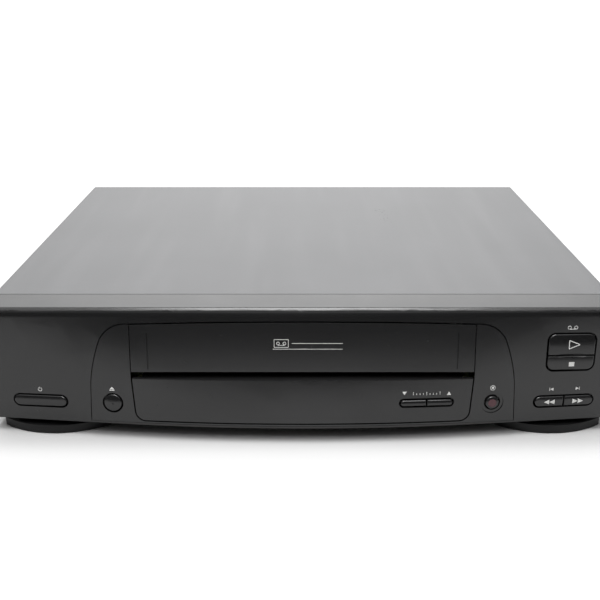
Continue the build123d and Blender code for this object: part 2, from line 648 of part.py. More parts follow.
def cassette_flap():
    """The door of the cassette slot, straight from side to side, on two pins near its top."""
    def front(below):
        return (0, -PANEL_PROUD - reach(FLAP_HALF, below), TOP - below)

    levels = [ARCH_TOP, (ARCH_TOP + FLAP_FOOT) / 2, FLAP_FOOT]
    outer = ThreePointArc(*[front(below) for below in levels])
    inner = Pos(0, FLAP_WALL, 0) * outer
    section = make_face([outer, inner, Line(outer @ 0, inner @ 0), Line(outer @ 1, inner @ 1)])
    sheet = extrude(Pos(-FLAP_HALF, 0, 0) * section, amount=2 * FLAP_HALF, dir=(1, 0, 0))
    outline = offset(arch_outline(), -FLAP_HEAD_GAP) & view_window(-FLAP_HALF, FLAP_HALF, 0,
                                                                   FLAP_FOOT)
    flap = sheet & prism(outline, -FAR, FAR)
    rib = FLAP_HALF - RIB_INSET
    groove = slab(rib - RIB_WIDTH / 2, rib + RIB_WIDTH / 2, -FAR, FAR,
                  TOP - FLAP_FOOT + RIB_FOOT, TOP - RIB_TOP)
    flap -= both_sides(groove) - Pos(0, RIB_DEPTH, 0) * sheet
    end = FLAP_HALF - FLAP_GAP
    ear = rod_x(pivot_y(), PIVOT_Z, end - EAR_WALL, end, EAR_RADIUS)
    ear += slab(end - EAR_WALL, end, pivot_y() - EAR_RADIUS, pivot_y() + EAR_RADIUS / 2,
                PIVOT_Z - 2 * EAR_RADIUS, PIVOT_Z)
    pin = rod_x(pivot_y(), PIVOT_Z, end - 1, FLAP_HALF + FLAP_GAP + EAR_WALL, PIN_RADIUS)
    return flap + both_sides(ear) + both_sides(pin)


# ================================================================= buttons
def crown(place, ahead, radius, ball=False):
    """A long cylinder along the face, or a ball, whose front stands so far ahead of the bezel."""
    solid = Sphere(radius) if ball else Rot(0, 90, 0) * Cylinder(radius, 2 * HALF)
    return face_plane(*place, ahead) * Pos(0, 0, -radius) * solid


def button(hole, front, keep=None, raised=0.0):
    """A key in its hole: a crowned cap, a flange behind the wall, and a stem.

    front is the solid that gives the cap its front, keep is the part of the view that one half
    of a pair takes, and raised is how far the panel that carries it stands ahead of the bezel.
    """
    cap_outline = offset(hole, -BUTTON_GAP)
    flange_outline = offset(hole, BUTTON_LIP)
    if keep is not None:
        cap_outline &= keep
        flange_outline &= keep
    box = flange_outline.bounding_box()
    wall_back = max(WALL - raised - reach(x, TOP - z) for x in (box.min.X, box.max.X)
                    for z in (box.min.Z, box.max.Z))
    flange_front = wall_back + FIT
    cap = prism(cap_outline, -FAR, flange_front + BUTTON_SKIRT) & front
    cap = fillet(cap.faces().sort_by(Axis.Y)[0].edges(), BUTTON_ROUND)
    cap += prism(flange_outline, flange_front, flange_front + BUTTON_SKIRT)
    centre = cap_outline.bounding_box().center()
    return cap + rod_y(centre.X, centre.Z, flange_front, STEM_END, STEM_RADIUS)


def beside(x, side):
    """The half of the view to one side of a split line."""
    edge = x + side * BUTTON_SPLIT / 2
    return view_window(min(edge, side * HALF * 2), max(edge, side * HALF * 2), 0, FACE_HEIGHT)


def finger_nick():
    """A slim ring, stood on its edge, that cuts the lens-shaped nick between play and stop."""
    ring = (NICK_LENGTH**2 / NICK_DEPTH / 8 + NICK_DEPTH / 2) - NICK_RADIUS
    place = (PLAY_PLACE[0], PLAY_PLACE[1] + PLAY_SPLIT)
    out = ring + NICK_RADIUS - NICK_DEPTH
    stood = face_plane(*place, BUTTON_PROUD) * Pos(0, 0, out) * Rot(90, 0, 0)
    return stood * Torus(ring, NICK_RADIUS)


def button_set():
    """Every key of the face, by name."""
    proud, raised = BUTTON_PROUD, PANEL_PROUD
    channel_front = crown(CHANNEL_PLACE, raised + proud, CHANNEL_CROWN)
    wind_front = crown(WIND_PLACE, proud, LONG_CROWN)
    play_front = crown(PLAY_PLACE, proud, PLAY_CROWN)
    split = PLAY_PLACE[1] + PLAY_SPLIT
    play_keep = view_window(0, HALF, 0, split - BUTTON_SPLIT / 2)
    stop_keep = view_window(0, HALF, split + BUTTON_SPLIT / 2, FACE_HEIGHT)
    nick = finger_nick()
    return {
        "power_button": button(power_hole(), crown(POWER_PLACE, proud, LONG_CROWN)),
        "eject_button": button(eject_hole(), crown(EJECT_PLACE, raised + proud, ROUND_CROWN, True),
                               raised=raised),
        "record_button": button(record_hole(),
                                crown(RECORD_PLACE, raised + proud, ROUND_CROWN, True),
                                raised=raised),
        "channel_down_button": button(channel_hole(), channel_front, beside(CHANNEL_PLACE[0], -1),
                                      raised),
        "channel_up_button": button(channel_hole(), channel_front, beside(CHANNEL_PLACE[0], 1),
                                    raised),
        "rewind_button": button(wind_hole(), wind_front, beside(WIND_PLACE[0], -1)),
        "forward_button": button(wind_hole(), wind_front, beside(WIND_PLACE[0], 1)),
        "play_button": button(play_hole(), play_front, play_keep) - nick,
        "stop_button": button(play_hole(), play_front, stop_keep) - nick,
    }


def switch_board():
    """The upright board behind the keys, with a tower up to the play key."""
    outer = BOARD_BOSS_OUTER + BOSS_RADIUS
    low = slab(-outer, outer, BOARD_FRONT, BOARD_FRONT + BOARD_WALL, BOARD_FOOT, BOARD_TOP)
    tower = slab(BOARD_BOSS_INNER, outer, BOARD_FRONT, BOARD_FRONT + BOARD_WALL, BOARD_FOOT,
                 TOWER_TOP)
    return low + tower


def tact_switches(buttons):
    """One small switch on the board behind the stem of each key."""
    switches = []
    for key in buttons.values():
        stem = key.faces().sort_by(Axis.Y)[-1].center()
        body = slab(stem.X - SWITCH_SIZE / 2, stem.X + SWITCH_SIZE / 2, BOARD_FRONT - SWITCH_BODY,
                    BOARD_FRONT, stem.Z - SWITCH_SIZE / 2, stem.Z + SWITCH_SIZE / 2)
        switches.append(body + rod_y(stem.X, stem.Z, SWITCH_FRONT, BOARD_FRONT, PLUNGER_RADIUS))
    return Compound(children=[solid for switch in switches for solid in switch.solids()])


# ================================================================= case
def bottom_tray():
    """The moulded tray that carries everything, with its ledge, walls, bosses and vents."""
    front = COVER_FRONT
    tray = slab(-HALF, HALF, front, BODY_DEPTH, FOOT_HEIGHT, FLOOR_TOP)
    ledge = slab(HALF - 2 * WALL, HALF, front, REAR_PANEL_FRONT - FIT, FLOOR_TOP, LEDGE_TOP)
    wall_outer = HALF - COVER_GAUGE - FIT
    wall_front = BEZEL_DEPTH + TUCK_DEPTH + FIT
    wall = slab(wall_outer - WALL, wall_outer, wall_front, REAR_PANEL_FRONT - FIT, FLOOR_TOP,
                TRAY_WALL_TOP)
    tray += both_sides(ledge) + both_sides(wall)
    for x in (-PILLAR_X, PILLAR_X):
        for y in (DECK_FRONT + PILLAR_INSET, DECK_BACK - PILLAR_INSET):
            tray += post((x, y), FLOOR_TOP, DECK_Z, PILLAR_RADIUS)
    for place in board_posts():
        tray += post(place, FLOOR_TOP, PCB_Z, BOSS_RADIUS)
    tray += post(CAPSTAN, FLOOR_TOP, STATOR_Z, STATOR_RADIUS / 2)
    for row in (-1, 1):
        for step in range(VENT_COUNT):
            x = (step - (VENT_COUNT - 1) / 2) * VENT_PITCH
            y = (DECK_FRONT + REEL_Y) / 2 if row < 0 else (REEL_Y + DRUM_Y) / 2
            tray -= slab(x - VENT_WIDTH / 2, x + VENT_WIDTH / 2, y - VENT_LENGTH / 2,
                         y + VENT_LENGTH / 2, 0, FLOOR_TOP + 1)
    return tray


def board_posts():
    """Where the tray carries the two flat boards: x and y."""
    places = []
    for x in (PCB_INNER + PCB_BOSS_INSET, PCB_OUTER - 2 * PCB_BOSS_INSET):
        for y in (MAIN_BOARD_FRONT + PCB_BOSS_INSET, BOARD_BACK - PCB_BOSS_INSET):
            places.append((x, y))
        for y in (SUPPLY_BOARD_FRONT + PCB_BOSS_INSET, BOARD_BACK - PCB_BOSS_INSET):
            places.append((-x, y))
    return places


def top_cover():
    """The folded steel cover: the top, both sides and a lip down the back."""
    foot = LEDGE_TOP + FIT
    outer = slab(-HALF, HALF, COVER_FRONT, BODY_DEPTH, foot, TOP)
    bends = outer.edges().filter_by(Axis.Y).sort_by(Axis.Z)[-2:]
    outer = fillet(bends, COVER_BEND)
    inner = slab(-HALF + COVER_GAUGE, HALF - COVER_GAUGE, COVER_FRONT - 1, BODY_DEPTH - COVER_GAUGE,
                 0, TOP - COVER_GAUGE)
    inner = fillet(inner.edges().filter_by(Axis.Y).sort_by(Axis.Z)[-2:], COVER_BEND - COVER_GAUGE)
    cover = outer - inner
    cover -= slab(-HALF + COVER_GAUGE, HALF - COVER_GAUGE, BODY_DEPTH - 2 * COVER_GAUGE,
                  BODY_DEPTH + 1, 0, TOP - REAR_LIP)
    for step in range(SIDE_VENT_COUNT):
        y = BODY_DEPTH - 2 * SIDE_VENT_LENGTH - step * SIDE_VENT_PITCH
        cover -= slab(-HALF - 1, HALF + 1, y - SIDE_VENT_WIDTH / 2, y + SIDE_VENT_WIDTH / 2,
                      TOP - REAR_LIP - SIDE_VENT_LENGTH, TOP - REAR_LIP)
    for x, z in lip_screws():
        cover -= rod_y(x, z, BODY_DEPTH - 2 * COVER_GAUGE, BODY_DEPTH + 1, SCREW_SHANK + FIT)
    return cover


def lip_screws():
    """The screws through the lip of the cover: x and z."""
    return [(x, TOP - REAR_LIP / 2) for x in (-HALF + REAR_FOOT_INSET, 0, HALF - REAR_FOOT_INSET)]


def cover_screws():
    """Pan-headed screws that hold the cover to the back panel."""
    screws = []
    for x, z in lip_screws():
        head = rod_y(x, z, BODY_DEPTH, BODY_DEPTH + SCREW_HEAD_HEIGHT, SCREW_HEAD)
        head = fillet(head.edges().sort_by(Axis.Y)[-1], SCREW_HEAD_HEIGHT / 2)
        screws.append(head + rod_y(x, z, BODY_DEPTH - SCREW_LENGTH, BODY_DEPTH, SCREW_SHANK))
    return Compound(children=[solid for screw in screws for solid in screw.solids()])


def rear_panel():
    """The back wall, with holes for the jacks, the inlet and the screws."""
    side = HALF - COVER_GAUGE - FIT
    panel = slab(-side, side, REAR_PANEL_FRONT, REAR_PANEL_BACK, FLOOR_TOP, TOP - COVER_GAUGE - FIT)
    panel = fillet(panel.edges().filter_by(Axis.Y).sort_by(Axis.Z)[-2:], COVER_BEND)
    cuts = [rod_y(x, AERIAL_Z, 0, BODY_DEPTH, AERIAL_RADIUS + FIT) for x in AERIAL_JACKS]
    cuts += [rod_y(x, z, 0, BODY_DEPTH, AV_JACK_RADIUS + FIT) for x in AV_JACKS_X for z in AV_JACKS_Z]
    cuts += [rod_y(x, z, 0, BODY_DEPTH, SCREW_SHANK + FIT / 2) for x, z in lip_screws()]
    cuts.append(prism(inlet_outline(FIT), 0, BODY_DEPTH))
    cuts.append(prism(switch_outline(*SWITCH_SLOT), 0, BODY_DEPTH))
    for cut in cuts:
        panel -= cut
    return panel


def front_feet():
    """Two wide feet with a curved front, each on a narrower neck."""
    def outline(inset):
        left, right = FOOT_X - FOOT_HALF + inset, FOOT_X + FOOT_HALF - inset
        corner, back = FOOT_CORNER + inset, FOOT_BACK - inset
        edges = [ThreePointArc((left, corner), (FOOT_X, -FOOT_FRONT + inset), (right, corner)),
                 Line((right, corner), (right, back)), Line((right, back), (left, back)),
                 Line((left, back), (left, corner))]
        return make_face(edges)

    flange = extrude(outline(0), amount=FOOT_FLANGE)
    flange = fillet(flange.edges().filter_by(Axis.Z), FOOT_UPRIGHT_ROUND)
    flange = chamfer(flange.edges().group_by(Axis.Z)[0], FOOT_CHAMFER)
    neck = extrude(Pos(0, 0, FOOT_FLANGE) * outline(FOOT_NECK_INSET),
                   amount=FOOT_HEIGHT - FOOT_FLANGE)
    return both_sides(flange + neck)


def rear_feet():
    """Two round feet under the back corners."""
    foot = post((HALF - REAR_FOOT_INSET, BODY_DEPTH - REAR_FOOT_INSET), 0, FOOT_HEIGHT,
                REAR_FOOT_RADIUS)
    foot = chamfer(foot.edges().sort_by(Axis.Z)[0], REAR_FOOT_CHAMFER)
    return both_sides(foot)


# ================================================================= loading the cassette
def slot_y(y0, y1, z, radius, x0, x1):
    """A round-ended slot that runs from front to back through an upright sheet."""
    cut = slab(x0, x1, y0, y1, z - radius, z + radius)
    return cut + rod_x(y0, z, x0, x1, radius) + rod_x(y1, z, x0, x1, radius)


def slot_z(y, z0, z1, radius, x0, x1):
    """A round-ended slot that runs up and down through an upright sheet."""
    cut = slab(x0, x1, y - radius, y + radius, z0, z1)
    return cut + rod_x(y, z0, x0, x1, radius) + rod_x(y, z1, x0, x1, radius)


def side_bracket(side):
    """An upright sheet on the deck, with the two slots that carry the carriage."""
    inner, outer = BRACKET_X, BRACKET_X + BRACKET_WALL
    sheet = slab(inner, outer, BRACKET_FRONT, BRACKET_BACK, DECK_TOP, BRACKET_TOP)
    sheet -= slab(inner - 1, outer + 1, 0, DECK_FRONT, 0, SILL_Z)
    free = GUIDE_PIN_RADIUS + GUIDE_CLEARANCE
    for y in GUIDE_PINS:
        sheet -= slot_y(y, y + CARRIAGE_TRAVEL, GUIDE_PIN_Z, free, inner - 1, outer + 1)
    foot = slab(inner, DECK_HALF, DECK_FRONT, BRACKET_BACK, DECK_TOP, DECK_TOP + BRACKET_WALL)
    return sheet + foot if side > 0 else mirror(sheet + foot, Plane.YZ)


def carriage():
    """The frame that runs in and out: two cheeks joined by a bar over the cassette."""
    back = HOLDER_BACK + SHEET
    cheek = slab(CARRIAGE_X, CARRIAGE_X + SHEET, HOLDER_FRONT, back, CARRIAGE_FOOT, CARRIAGE_TOP)
    for y in GUIDE_PINS:
        cheek += rod_x(y, GUIDE_PIN_Z, CARRIAGE_X, BRACKET_X + BRACKET_WALL, GUIDE_PIN_RADIUS)
    free = GUIDE_PIN_RADIUS + GUIDE_CLEARANCE
    for y in LIFT_PINS:
        cheek -= slot_z(y, LIFT_PIN_Z - HOLDER_DROP, LIFT_PIN_Z, free, CARRIAGE_X - 1, BRACKET_X)
    bar_back = HOLDER_BACK - CARRIAGE_BAR_BACK
    bar = slab(-CARRIAGE_X - SHEET, CARRIAGE_X + SHEET, bar_back - CARRIAGE_BAR, bar_back,
               CARRIAGE_TOP, CARRIAGE_TOP + SHEET)
    return both_sides(cheek) + bar


def cassette_holder():
    """The open tray that takes the cassette, with two lips under its edges."""
    wall = CASSETTE_HALF
    top = HOLDER_TOP
    side = slab(wall, wall + SHEET, HOLDER_FRONT, HOLDER_BACK, HOLDER_FLOOR - SHEET, top + SHEET)
    lip = slab(wall - HOLDER_LIP, wall + SHEET, HOLDER_FRONT, HOLDER_BACK, HOLDER_FLOOR - SHEET,
               HOLDER_FLOOR)
    shell = both_sides(side + lip)
    roof = slab(-wall - SHEET, wall + SHEET, HOLDER_FRONT, HOLDER_BACK, top, top + SHEET)
    middle = (HOLDER_FRONT + HOLDER_BACK) / 2
    window = slab(HOLDER_LIP / 2, HOLDER_LIP / 2 + HOLDER_WINDOW, middle - HOLDER_WINDOW / 2,
                  middle + HOLDER_WINDOW / 2, top - 1, TOP)
    roof -= both_sides(window)
    stop = slab(-wall, wall, HOLDER_BACK - SHEET, HOLDER_BACK, top - HOLDER_STOP, top + SHEET)
    shell += roof + stop
    for y in LIFT_PINS:
        shell += both_sides(rod_x(y, LIFT_PIN_Z, wall, CARRIAGE_X + 1.5 * SHEET, GUIDE_PIN_RADIUS))
    return shell


# ================================================================= tape deck
def guide_centre(side):
    """The centre of the arc that one guide roller rides on, and its two angles in degrees."""
    start, end = [from_drum((side * across, along)) for across, along in (GUIDE_REST, GUIDE_LOADED)]
    across, along = end[0] - start[0], end[1] - start[1]
    chord = hypot(across, along)
    away = sqrt(GUIDE_RADIUS**2 - (chord / 2)**2)
    centre = ((start[0] + end[0]) / 2 - side * away * along / chord,
              (start[1] + end[1]) / 2 + side * away * across / chord)
    angles = [degrees(atan2(p[1] - centre[1], p[0] - centre[0])) for p in (start, end)]
    return centre, angles


def from_drum(offset):
    """A place on the deck, from the middle of the drum."""
    return (DRUM_X + offset[0], DRUM_Y + offset[1])


def drum_place():
    """The tilted frame that the head drum turns in."""
    return Pos(DRUM_X, DRUM_Y, DECK_TOP) * Rot(-DRUM_TILT, 0, 0)


def guide_slot(side):
    """The curved slot in the deck that a guide roller runs along."""
    centre, angles = guide_centre(side)
    low, high = sorted(angles if side > 0 else [angle % 360 for angle in angles])
    track = CenterArc((*centre, 0), GUIDE_RADIUS, low, high - low)
    slot = SlotArc(track, GUIDE_SLOT)
    return extrude(Pos(0, 0, DECK_Z - 1) * slot, amount=DECK_WALL + 2)


def deck_plate():
    """The steel plate that the mechanism stands on."""
    plate = slab(-DECK_HALF, DECK_HALF, DECK_FRONT, DECK_BACK, DECK_Z, DECK_TOP)
    plate = fillet(plate.edges().filter_by(Axis.Z), PILLAR_INSET)
    for place, radius in ((CAPSTAN, BUSH_RADIUS), (PINCH_PIVOT, POST_RADIUS), (CAM_GEAR, POST_RADIUS)):
        plate -= post(place, 0, TOP, radius + RUNNING_FIT)
    plate -= slab(-DECK_WINDOW / 2, DECK_WINDOW / 2, REEL_Y - 1.5 * DECK_WINDOW,
                  REEL_Y - DECK_WINDOW / 2, 0, TOP)
    for side in (-1, 1):
        plate -= guide_slot(side)
    return plate


def lower_drum():
    """The fixed half of the head drum, leaning on its cast foot, with the tape's ledge."""
    drum = drum_place() * Cylinder(DRUM_RADIUS, 2 * LOWER_DRUM)
    ledge = drum_place() * Pos(0, 0, -LOWER_DRUM / 2) * Cylinder(DRUM_RADIUS + DRUM_LEDGE,
                                                               2 * LOWER_DRUM)
    bore = drum_place() * Cylinder(DRUM_SHAFT + RUNNING_FIT, 4 * LOWER_DRUM)
    base = slab(DRUM_X - 2 * DRUM_RADIUS, DRUM_X + 2 * DRUM_RADIUS, DRUM_Y - 2 * DRUM_RADIUS,
                DRUM_Y + 2 * DRUM_RADIUS, DECK_TOP, TOP)
    return (drum + ledge - bore) & base


def upper_drum():
    """The half of the head drum that spins, with two head windows and its shaft."""
    drum = Pos(0, 0, LOWER_DRUM + FLOAT + UPPER_DRUM / 2) * Cylinder(DRUM_RADIUS, UPPER_DRUM)
    drum = chamfer(drum.edges().sort_by(Axis.Z)[-1], DRUM_CHAMFER)
    top = LOWER_DRUM + FLOAT + UPPER_DRUM
    drum -= Pos(0, 0, top) * Cylinder(DRUM_RADIUS - DRUM_RIM, 2 * DRUM_DISH)
    for side in (-1, 1):
        drum -= Pos(side * DRUM_RADIUS, 0, LOWER_DRUM) * Box(*HEAD_WINDOW)
    shaft = Pos(0, 0, (DRUM_SHAFT_FOOT + top) / 2) * Cylinder(DRUM_SHAFT, top - DRUM_SHAFT_FOOT)
    return drum_place() * (drum + shaft)


def reel_table(side):
    """A reel table: a flange, a boss and a splined hub, on its spindle."""
    place = (side * REEL_X, REEL_Y)
    foot = DECK_TOP + FLOAT
    table = post(place, foot, foot + REEL_FLANGE, REEL_RADIUS)
    table += post(place, foot, foot + 2 * REEL_FLANGE, REEL_RADIUS / 2)
    table += post(place, foot, REEL_TOP, REEL_HUB)
    for turn in range(3):
        fin_top = REEL_TOP - 2 * REEL_FIN
        fin = Box(2 * (REEL_HUB + REEL_FIN), REEL_FIN_WALL, fin_top - foot)
        table += Pos(*place, (foot + fin_top) / 2) * Rot(0, 0, 60 * turn) * fin
    return table - post(place, 0, TOP, REEL_SPINDLE + RUNNING_FIT)


def reel_spindles():
    """The two fixed spindles that the reel tables turn on."""
    spindles = [post((side * REEL_X, REEL_Y), DECK_TOP, SPINDLE_TOP, REEL_SPINDLE)
                for side in (-1, 1)]
    return Compound(children=[solid for spindle in spindles for solid in spindle.solids()])


def capstan_shaft():
    """The capstan shaft, with the collar that carries the flywheel."""
    web = FLYWHEEL_Z + FLYWHEEL_WALL / 2
    collar = post(CAPSTAN, web - COLLAR_WALL, web, 2 * CAPSTAN_RADIUS)
    return collar + post(CAPSTAN, FLYWHEEL_Z, CAPSTAN_TOP, CAPSTAN_RADIUS)


def flywheel():
    """The flywheel of the capstan, under the deck: a heavy rim round a flat web."""
    wheel = post(CAPSTAN, FLYWHEEL_Z, FLYWHEEL_TOP, FLYWHEEL_RADIUS)
    wheel = chamfer(wheel.edges().group_by(Axis.Z)[-1], FLYWHEEL_CHAMFER)
    wheel -= post(CAPSTAN, FLYWHEEL_Z - 1, FLYWHEEL_Z + FLYWHEEL_WALL / 2,
                  FLYWHEEL_RADIUS - FLYWHEEL_RIM)
    return wheel - post(CAPSTAN, 0, TOP, CAPSTAN_RADIUS + RUNNING_FIT)


def capstan_bush():
    """The bearing of the capstan, pressed into the deck."""
    bush = post(CAPSTAN, FLYWHEEL_TOP + FLOAT, BUSH_TOP, BUSH_RADIUS)
    bush += post(CAPSTAN, DECK_TOP, DECK_TOP + BUSH_FLANGE_WALL, BUSH_RADIUS + BUSH_FLANGE)
    return bush - post(CAPSTAN, 0, TOP, CAPSTAN_RADIUS + RUNNING_FIT)


def capstan_stator():
    """The round board under the flywheel, with the flat coils that turn it."""
    top = STATOR_Z + STATOR_WALL
    stator = post(CAPSTAN, STATOR_Z, top, STATOR_RADIUS)
    ring = STATOR_RADIUS - COIL_RADIUS - FIT
    for step in range(COIL_COUNT):
        turn = 2 * pi * step / COIL_COUNT
        place = (CAPSTAN[0] + ring * cos(turn), CAPSTAN[1] + ring * sin(turn))
        coil = post(place, top, top + COIL_WALL, COIL_RADIUS)
        stator += coil - post(place, 0, TOP, COIL_RADIUS / 2)
    return stator


def pinch_roller_place():
    """Where the pinch roller rests, swung away from the capstan."""
    across, along = PINCH_PIVOT[0] - CAPSTAN[0], PINCH_PIVOT[1] - CAPSTAN[1]
    span = hypot(across, along)
    pressed = PINCH_RADIUS + CAPSTAN_RADIUS + PINCH_CLEARANCE
    along_span = (span**2 + PINCH_ARM**2 - pressed**2) / (2 * span)
    aside = sqrt(PINCH_ARM**2 - along_span**2)
    pressed_x = PINCH_PIVOT[0] - along_span * across / span - aside * along / span
    pressed_y = PINCH_PIVOT[1] - along_span * along / span + aside * across / span
    turn = atan2(pressed_y - PINCH_PIVOT[1], pressed_x - PINCH_PIVOT[0]) - radians(PINCH_SWING)
    return (PINCH_PIVOT[0] + PINCH_ARM * cos(turn), PINCH_PIVOT[1] + PINCH_ARM * sin(turn))


def pinch_arm():
    """The arm that carries the pinch roller, with the roller's pin."""
    place = pinch_roller_place()
    middle = ((place[0] + PINCH_PIVOT[0]) / 2, (place[1] + PINCH_PIVOT[1]) / 2)
    turn = degrees(atan2(place[1] - PINCH_PIVOT[1], place[0] - PINCH_PIVOT[0]))
    z = PINCH_ARM_Z
    bar = Box(PINCH_ARM, PINCH_ARM_WIDTH, PINCH_ARM_WALL)
    arm = Pos(*middle, z + PINCH_ARM_WALL / 2) * Rot(0, 0, turn) * bar
    arm += post(PINCH_PIVOT, DECK_TOP + FLOAT, PINCH_TOP - PINCH_SLEEVE_DROP, 2 * POST_RADIUS)
    arm += post(place, z, z + PINCH_ARM_WALL, 0.75 * PINCH_ARM_WIDTH)
    arm += post(place, z, PINCH_FOOT - FLOAT, PINCH_ARM_WIDTH / 2)
    arm += post(place, z, PINCH_TOP + PINCH_PIN_TIP, POST_RADIUS)
    return arm - post(PINCH_PIVOT, 0, TOP, POST_RADIUS + RUNNING_FIT)


def pinch_roller():
    """The rubber roller, with a slightly crowned rim."""
    place = pinch_roller_place()
    roller = post(place, PINCH_FOOT, PINCH_TOP, PINCH_RADIUS)
    roller = fillet(roller.edges().filter_by(GeomType.CIRCLE), PINCH_ROUND)
    return roller - post(place, 0, TOP, POST_RADIUS + RUNNING_FIT)


def guide_roller(side):
    """A guide roller on its base, which runs along the curved slot."""
    place = from_drum((side * GUIDE_REST[0], GUIDE_REST[1]))
    foot = DECK_TOP + FLOAT
    base = post(place, foot, foot + GUIDE_BASE_WALL, GUIDE_BASE_RADIUS)
    base += post(place, DECK_Z - GUIDE_BASE_WALL, foot, GUIDE_SLOT / 2 - GUIDE_CLEARANCE)
    base += post(place, DECK_Z - GUIDE_BASE_WALL, DECK_Z - FLOAT, GUIDE_SLOT)
    base += post(place, foot, TAPE_TOP, GUIDE_SPINDLE)
    base += post(place, foot + 1.5 * GUIDE_BASE_WALL, TAPE_TOP - GUIDE_CAP, GUIDE_ROLLER)
    base += post(place, TAPE_TOP - GUIDE_CAP, TAPE_TOP, GUIDE_ROLLER + GUIDE_CAP / 2)
    return base


def tape_posts():
    """The fixed posts of the tape path, and the pivots of the pinch arm and the gear."""
    foot = 2 * TAPE_POST_RADIUS
    posts = [post(place, DECK_TOP, TAPE_TOP, TAPE_POST_RADIUS)
             + post(place, DECK_TOP, DECK_TOP + foot, foot)
             for place in map(from_drum, TAPE_POSTS_FROM_DRUM)]
    posts.append(post(PINCH_PIVOT, DECK_Z, PINCH_TOP - PINCH_POST_DROP, POST_RADIUS))
    posts.append(post(CAM_GEAR, DECK_Z, CAM_Z + CAM_WALL + CAM_TIP, POST_RADIUS)
                 + post(CAM_GEAR, DECK_TOP, CAM_Z - FLOAT, 2 * POST_RADIUS))
    return Compound(children=[solid for piece in posts for solid in piece.solids()])


def tape_head(place, width, depth):
    """A fixed head: a block with a rounded front on a foot screwed to the deck."""
    x, y = place
    foot_top = DECK_TOP + HEAD_FOOT
    block = slab(x - width / 2, x + width / 2, y - depth / 2, y + depth / 2, foot_top,
                 foot_top + HEAD_HEIGHT)
    block = fillet(block.edges().filter_by(Axis.Z).group_by(Axis.Y)[-1], width / 4)
    foot = slab(x - width / 2 - HEAD_EDGE, x + width / 2 + HEAD_EDGE, y - depth / 2 - HEAD_TAIL,
                y + depth / 2 + HEAD_EDGE, DECK_TOP, foot_top)
    return block + foot


def gear(radius, tooth, teeth, wall):
    """A flat gear with straight-sided teeth, on the ground plane."""
    points = []
    for step in range(teeth):
        for share, depth in ((0.0, tooth), (0.3, tooth), (0.42, 0.0), (0.58, 0.0), (0.7, tooth)):
            turn = 2 * pi * (step + share) / teeth
            points.append(((radius - depth) * cos(turn), (radius - depth) * sin(turn)))
    return extrude(make_face(Polyline(*points, close=True)), amount=wall)


def cam_gear():
    """The gear that the worm drives, with the raised cam on top."""
    wheel = Pos(*CAM_GEAR, CAM_Z) * gear(CAM_RADIUS, CAM_TOOTH, CAM_TEETH, CAM_WALL)
    wheel -= post(CAM_GEAR, CAM_Z + CAM_WALL / 2, TOP, CAM_RADIUS - CAM_RIM)
    wheel += post(CAM_GEAR, CAM_Z, CAM_Z + CAM_WALL, 2 * POST_RADIUS)
    return wheel - post(CAM_GEAR, 0, TOP, POST_RADIUS + RUNNING_FIT)


def worm_line():
    """The axis of the worm, which runs from front to back beside the gear: x and z."""
    return CAM_GEAR[0] + CAM_RADIUS + WORM_RADIUS + FLOAT, CAM_Z + CAM_WALL / 2


def worm():
    """The worm on the shaft of the loading motor."""
    x, z = worm_line()
    front = CAM_GEAR[1] - WORM_LENGTH / 2
    screw = rod_y(x, z, front, front + WORM_LENGTH, WORM_RADIUS * 0.7)
    pitch = WORM_LENGTH / WORM_THREADS
    for step in range(WORM_THREADS):
        y = front + step * pitch
        screw += rod_y(x, z, y + pitch * 0.3, y + pitch * 0.7, WORM_RADIUS)
    return screw + rod_y(x, z, front - WORM_TIP, CAM_GEAR[1] + CAM_RADIUS + WORM_TAIL, WORM_SHAFT)


def loading_motor():
    """The small motor that turns the worm, in a clip on the deck."""
    x, z = worm_line()
    front = CAM_GEAR[1] + CAM_RADIUS + FLOAT
    motor = rod_y(x, z, front, front + MOTOR_LENGTH, MOTOR_RADIUS)
    motor &= slab(x - MOTOR_RADIUS, x + MOTOR_RADIUS, front, front + MOTOR_LENGTH,
                  z - MOTOR_RADIUS * 0.8, z + MOTOR_RADIUS * 0.8)
    motor += rod_y(x, z, front - FLOAT / 2, front + 1, MOTOR_BOSS)
    clip = slab(x - MOTOR_RADIUS / 2, x + MOTOR_RADIUS / 2, front, front + MOTOR_LENGTH / 2,
                DECK_TOP, z)
    return motor + clip - rod_y(x, z, front - 1, front + WORM_TAIL + 2, WORM_SHAFT + RUNNING_FIT)


# ================================================================= electronics
def main_board():
    """The board on the right, under the aerial module."""
    return slab(PCB_INNER, PCB_OUTER, MAIN_BOARD_FRONT, BOARD_BACK, PCB_Z, PCB_TOP)


def supply_board():
    """The board of the power supply, at the back on the left."""
    return slab(-PCB_OUTER, -PCB_INNER, SUPPLY_BOARD_FRONT, BOARD_BACK, PCB_Z, PCB_TOP)


def on_main_board(x, y):
    """A place on the main board, from its inner front corner."""
    return (PCB_INNER + x, MAIN_BOARD_FRONT + y)


def on_supply_board(x, y):
    """A place on the supply board, from its inner front corner."""
    return (-PCB_INNER - x, SUPPLY_BOARD_FRONT + y)


def packages_at(corner, sizes):
    """Flat chips on a board: x, y, width and depth of each."""
    chips = []
    for x, y, width, depth in sizes:
        middle = corner(x, y)
        chips.append(slab(middle[0] - width / 2, middle[0] + width / 2, middle[1] - depth / 2,
                          middle[1] + depth / 2, PCB_TOP, PCB_TOP + CHIP_HEIGHT))
    return chips


def cans_at(corner, sizes):
    """Upright capacitors on a board: x, y, radius and height of each."""
    return [post(corner(x, y), PCB_TOP, PCB_TOP + height, radius) for x, y, radius, height in sizes]


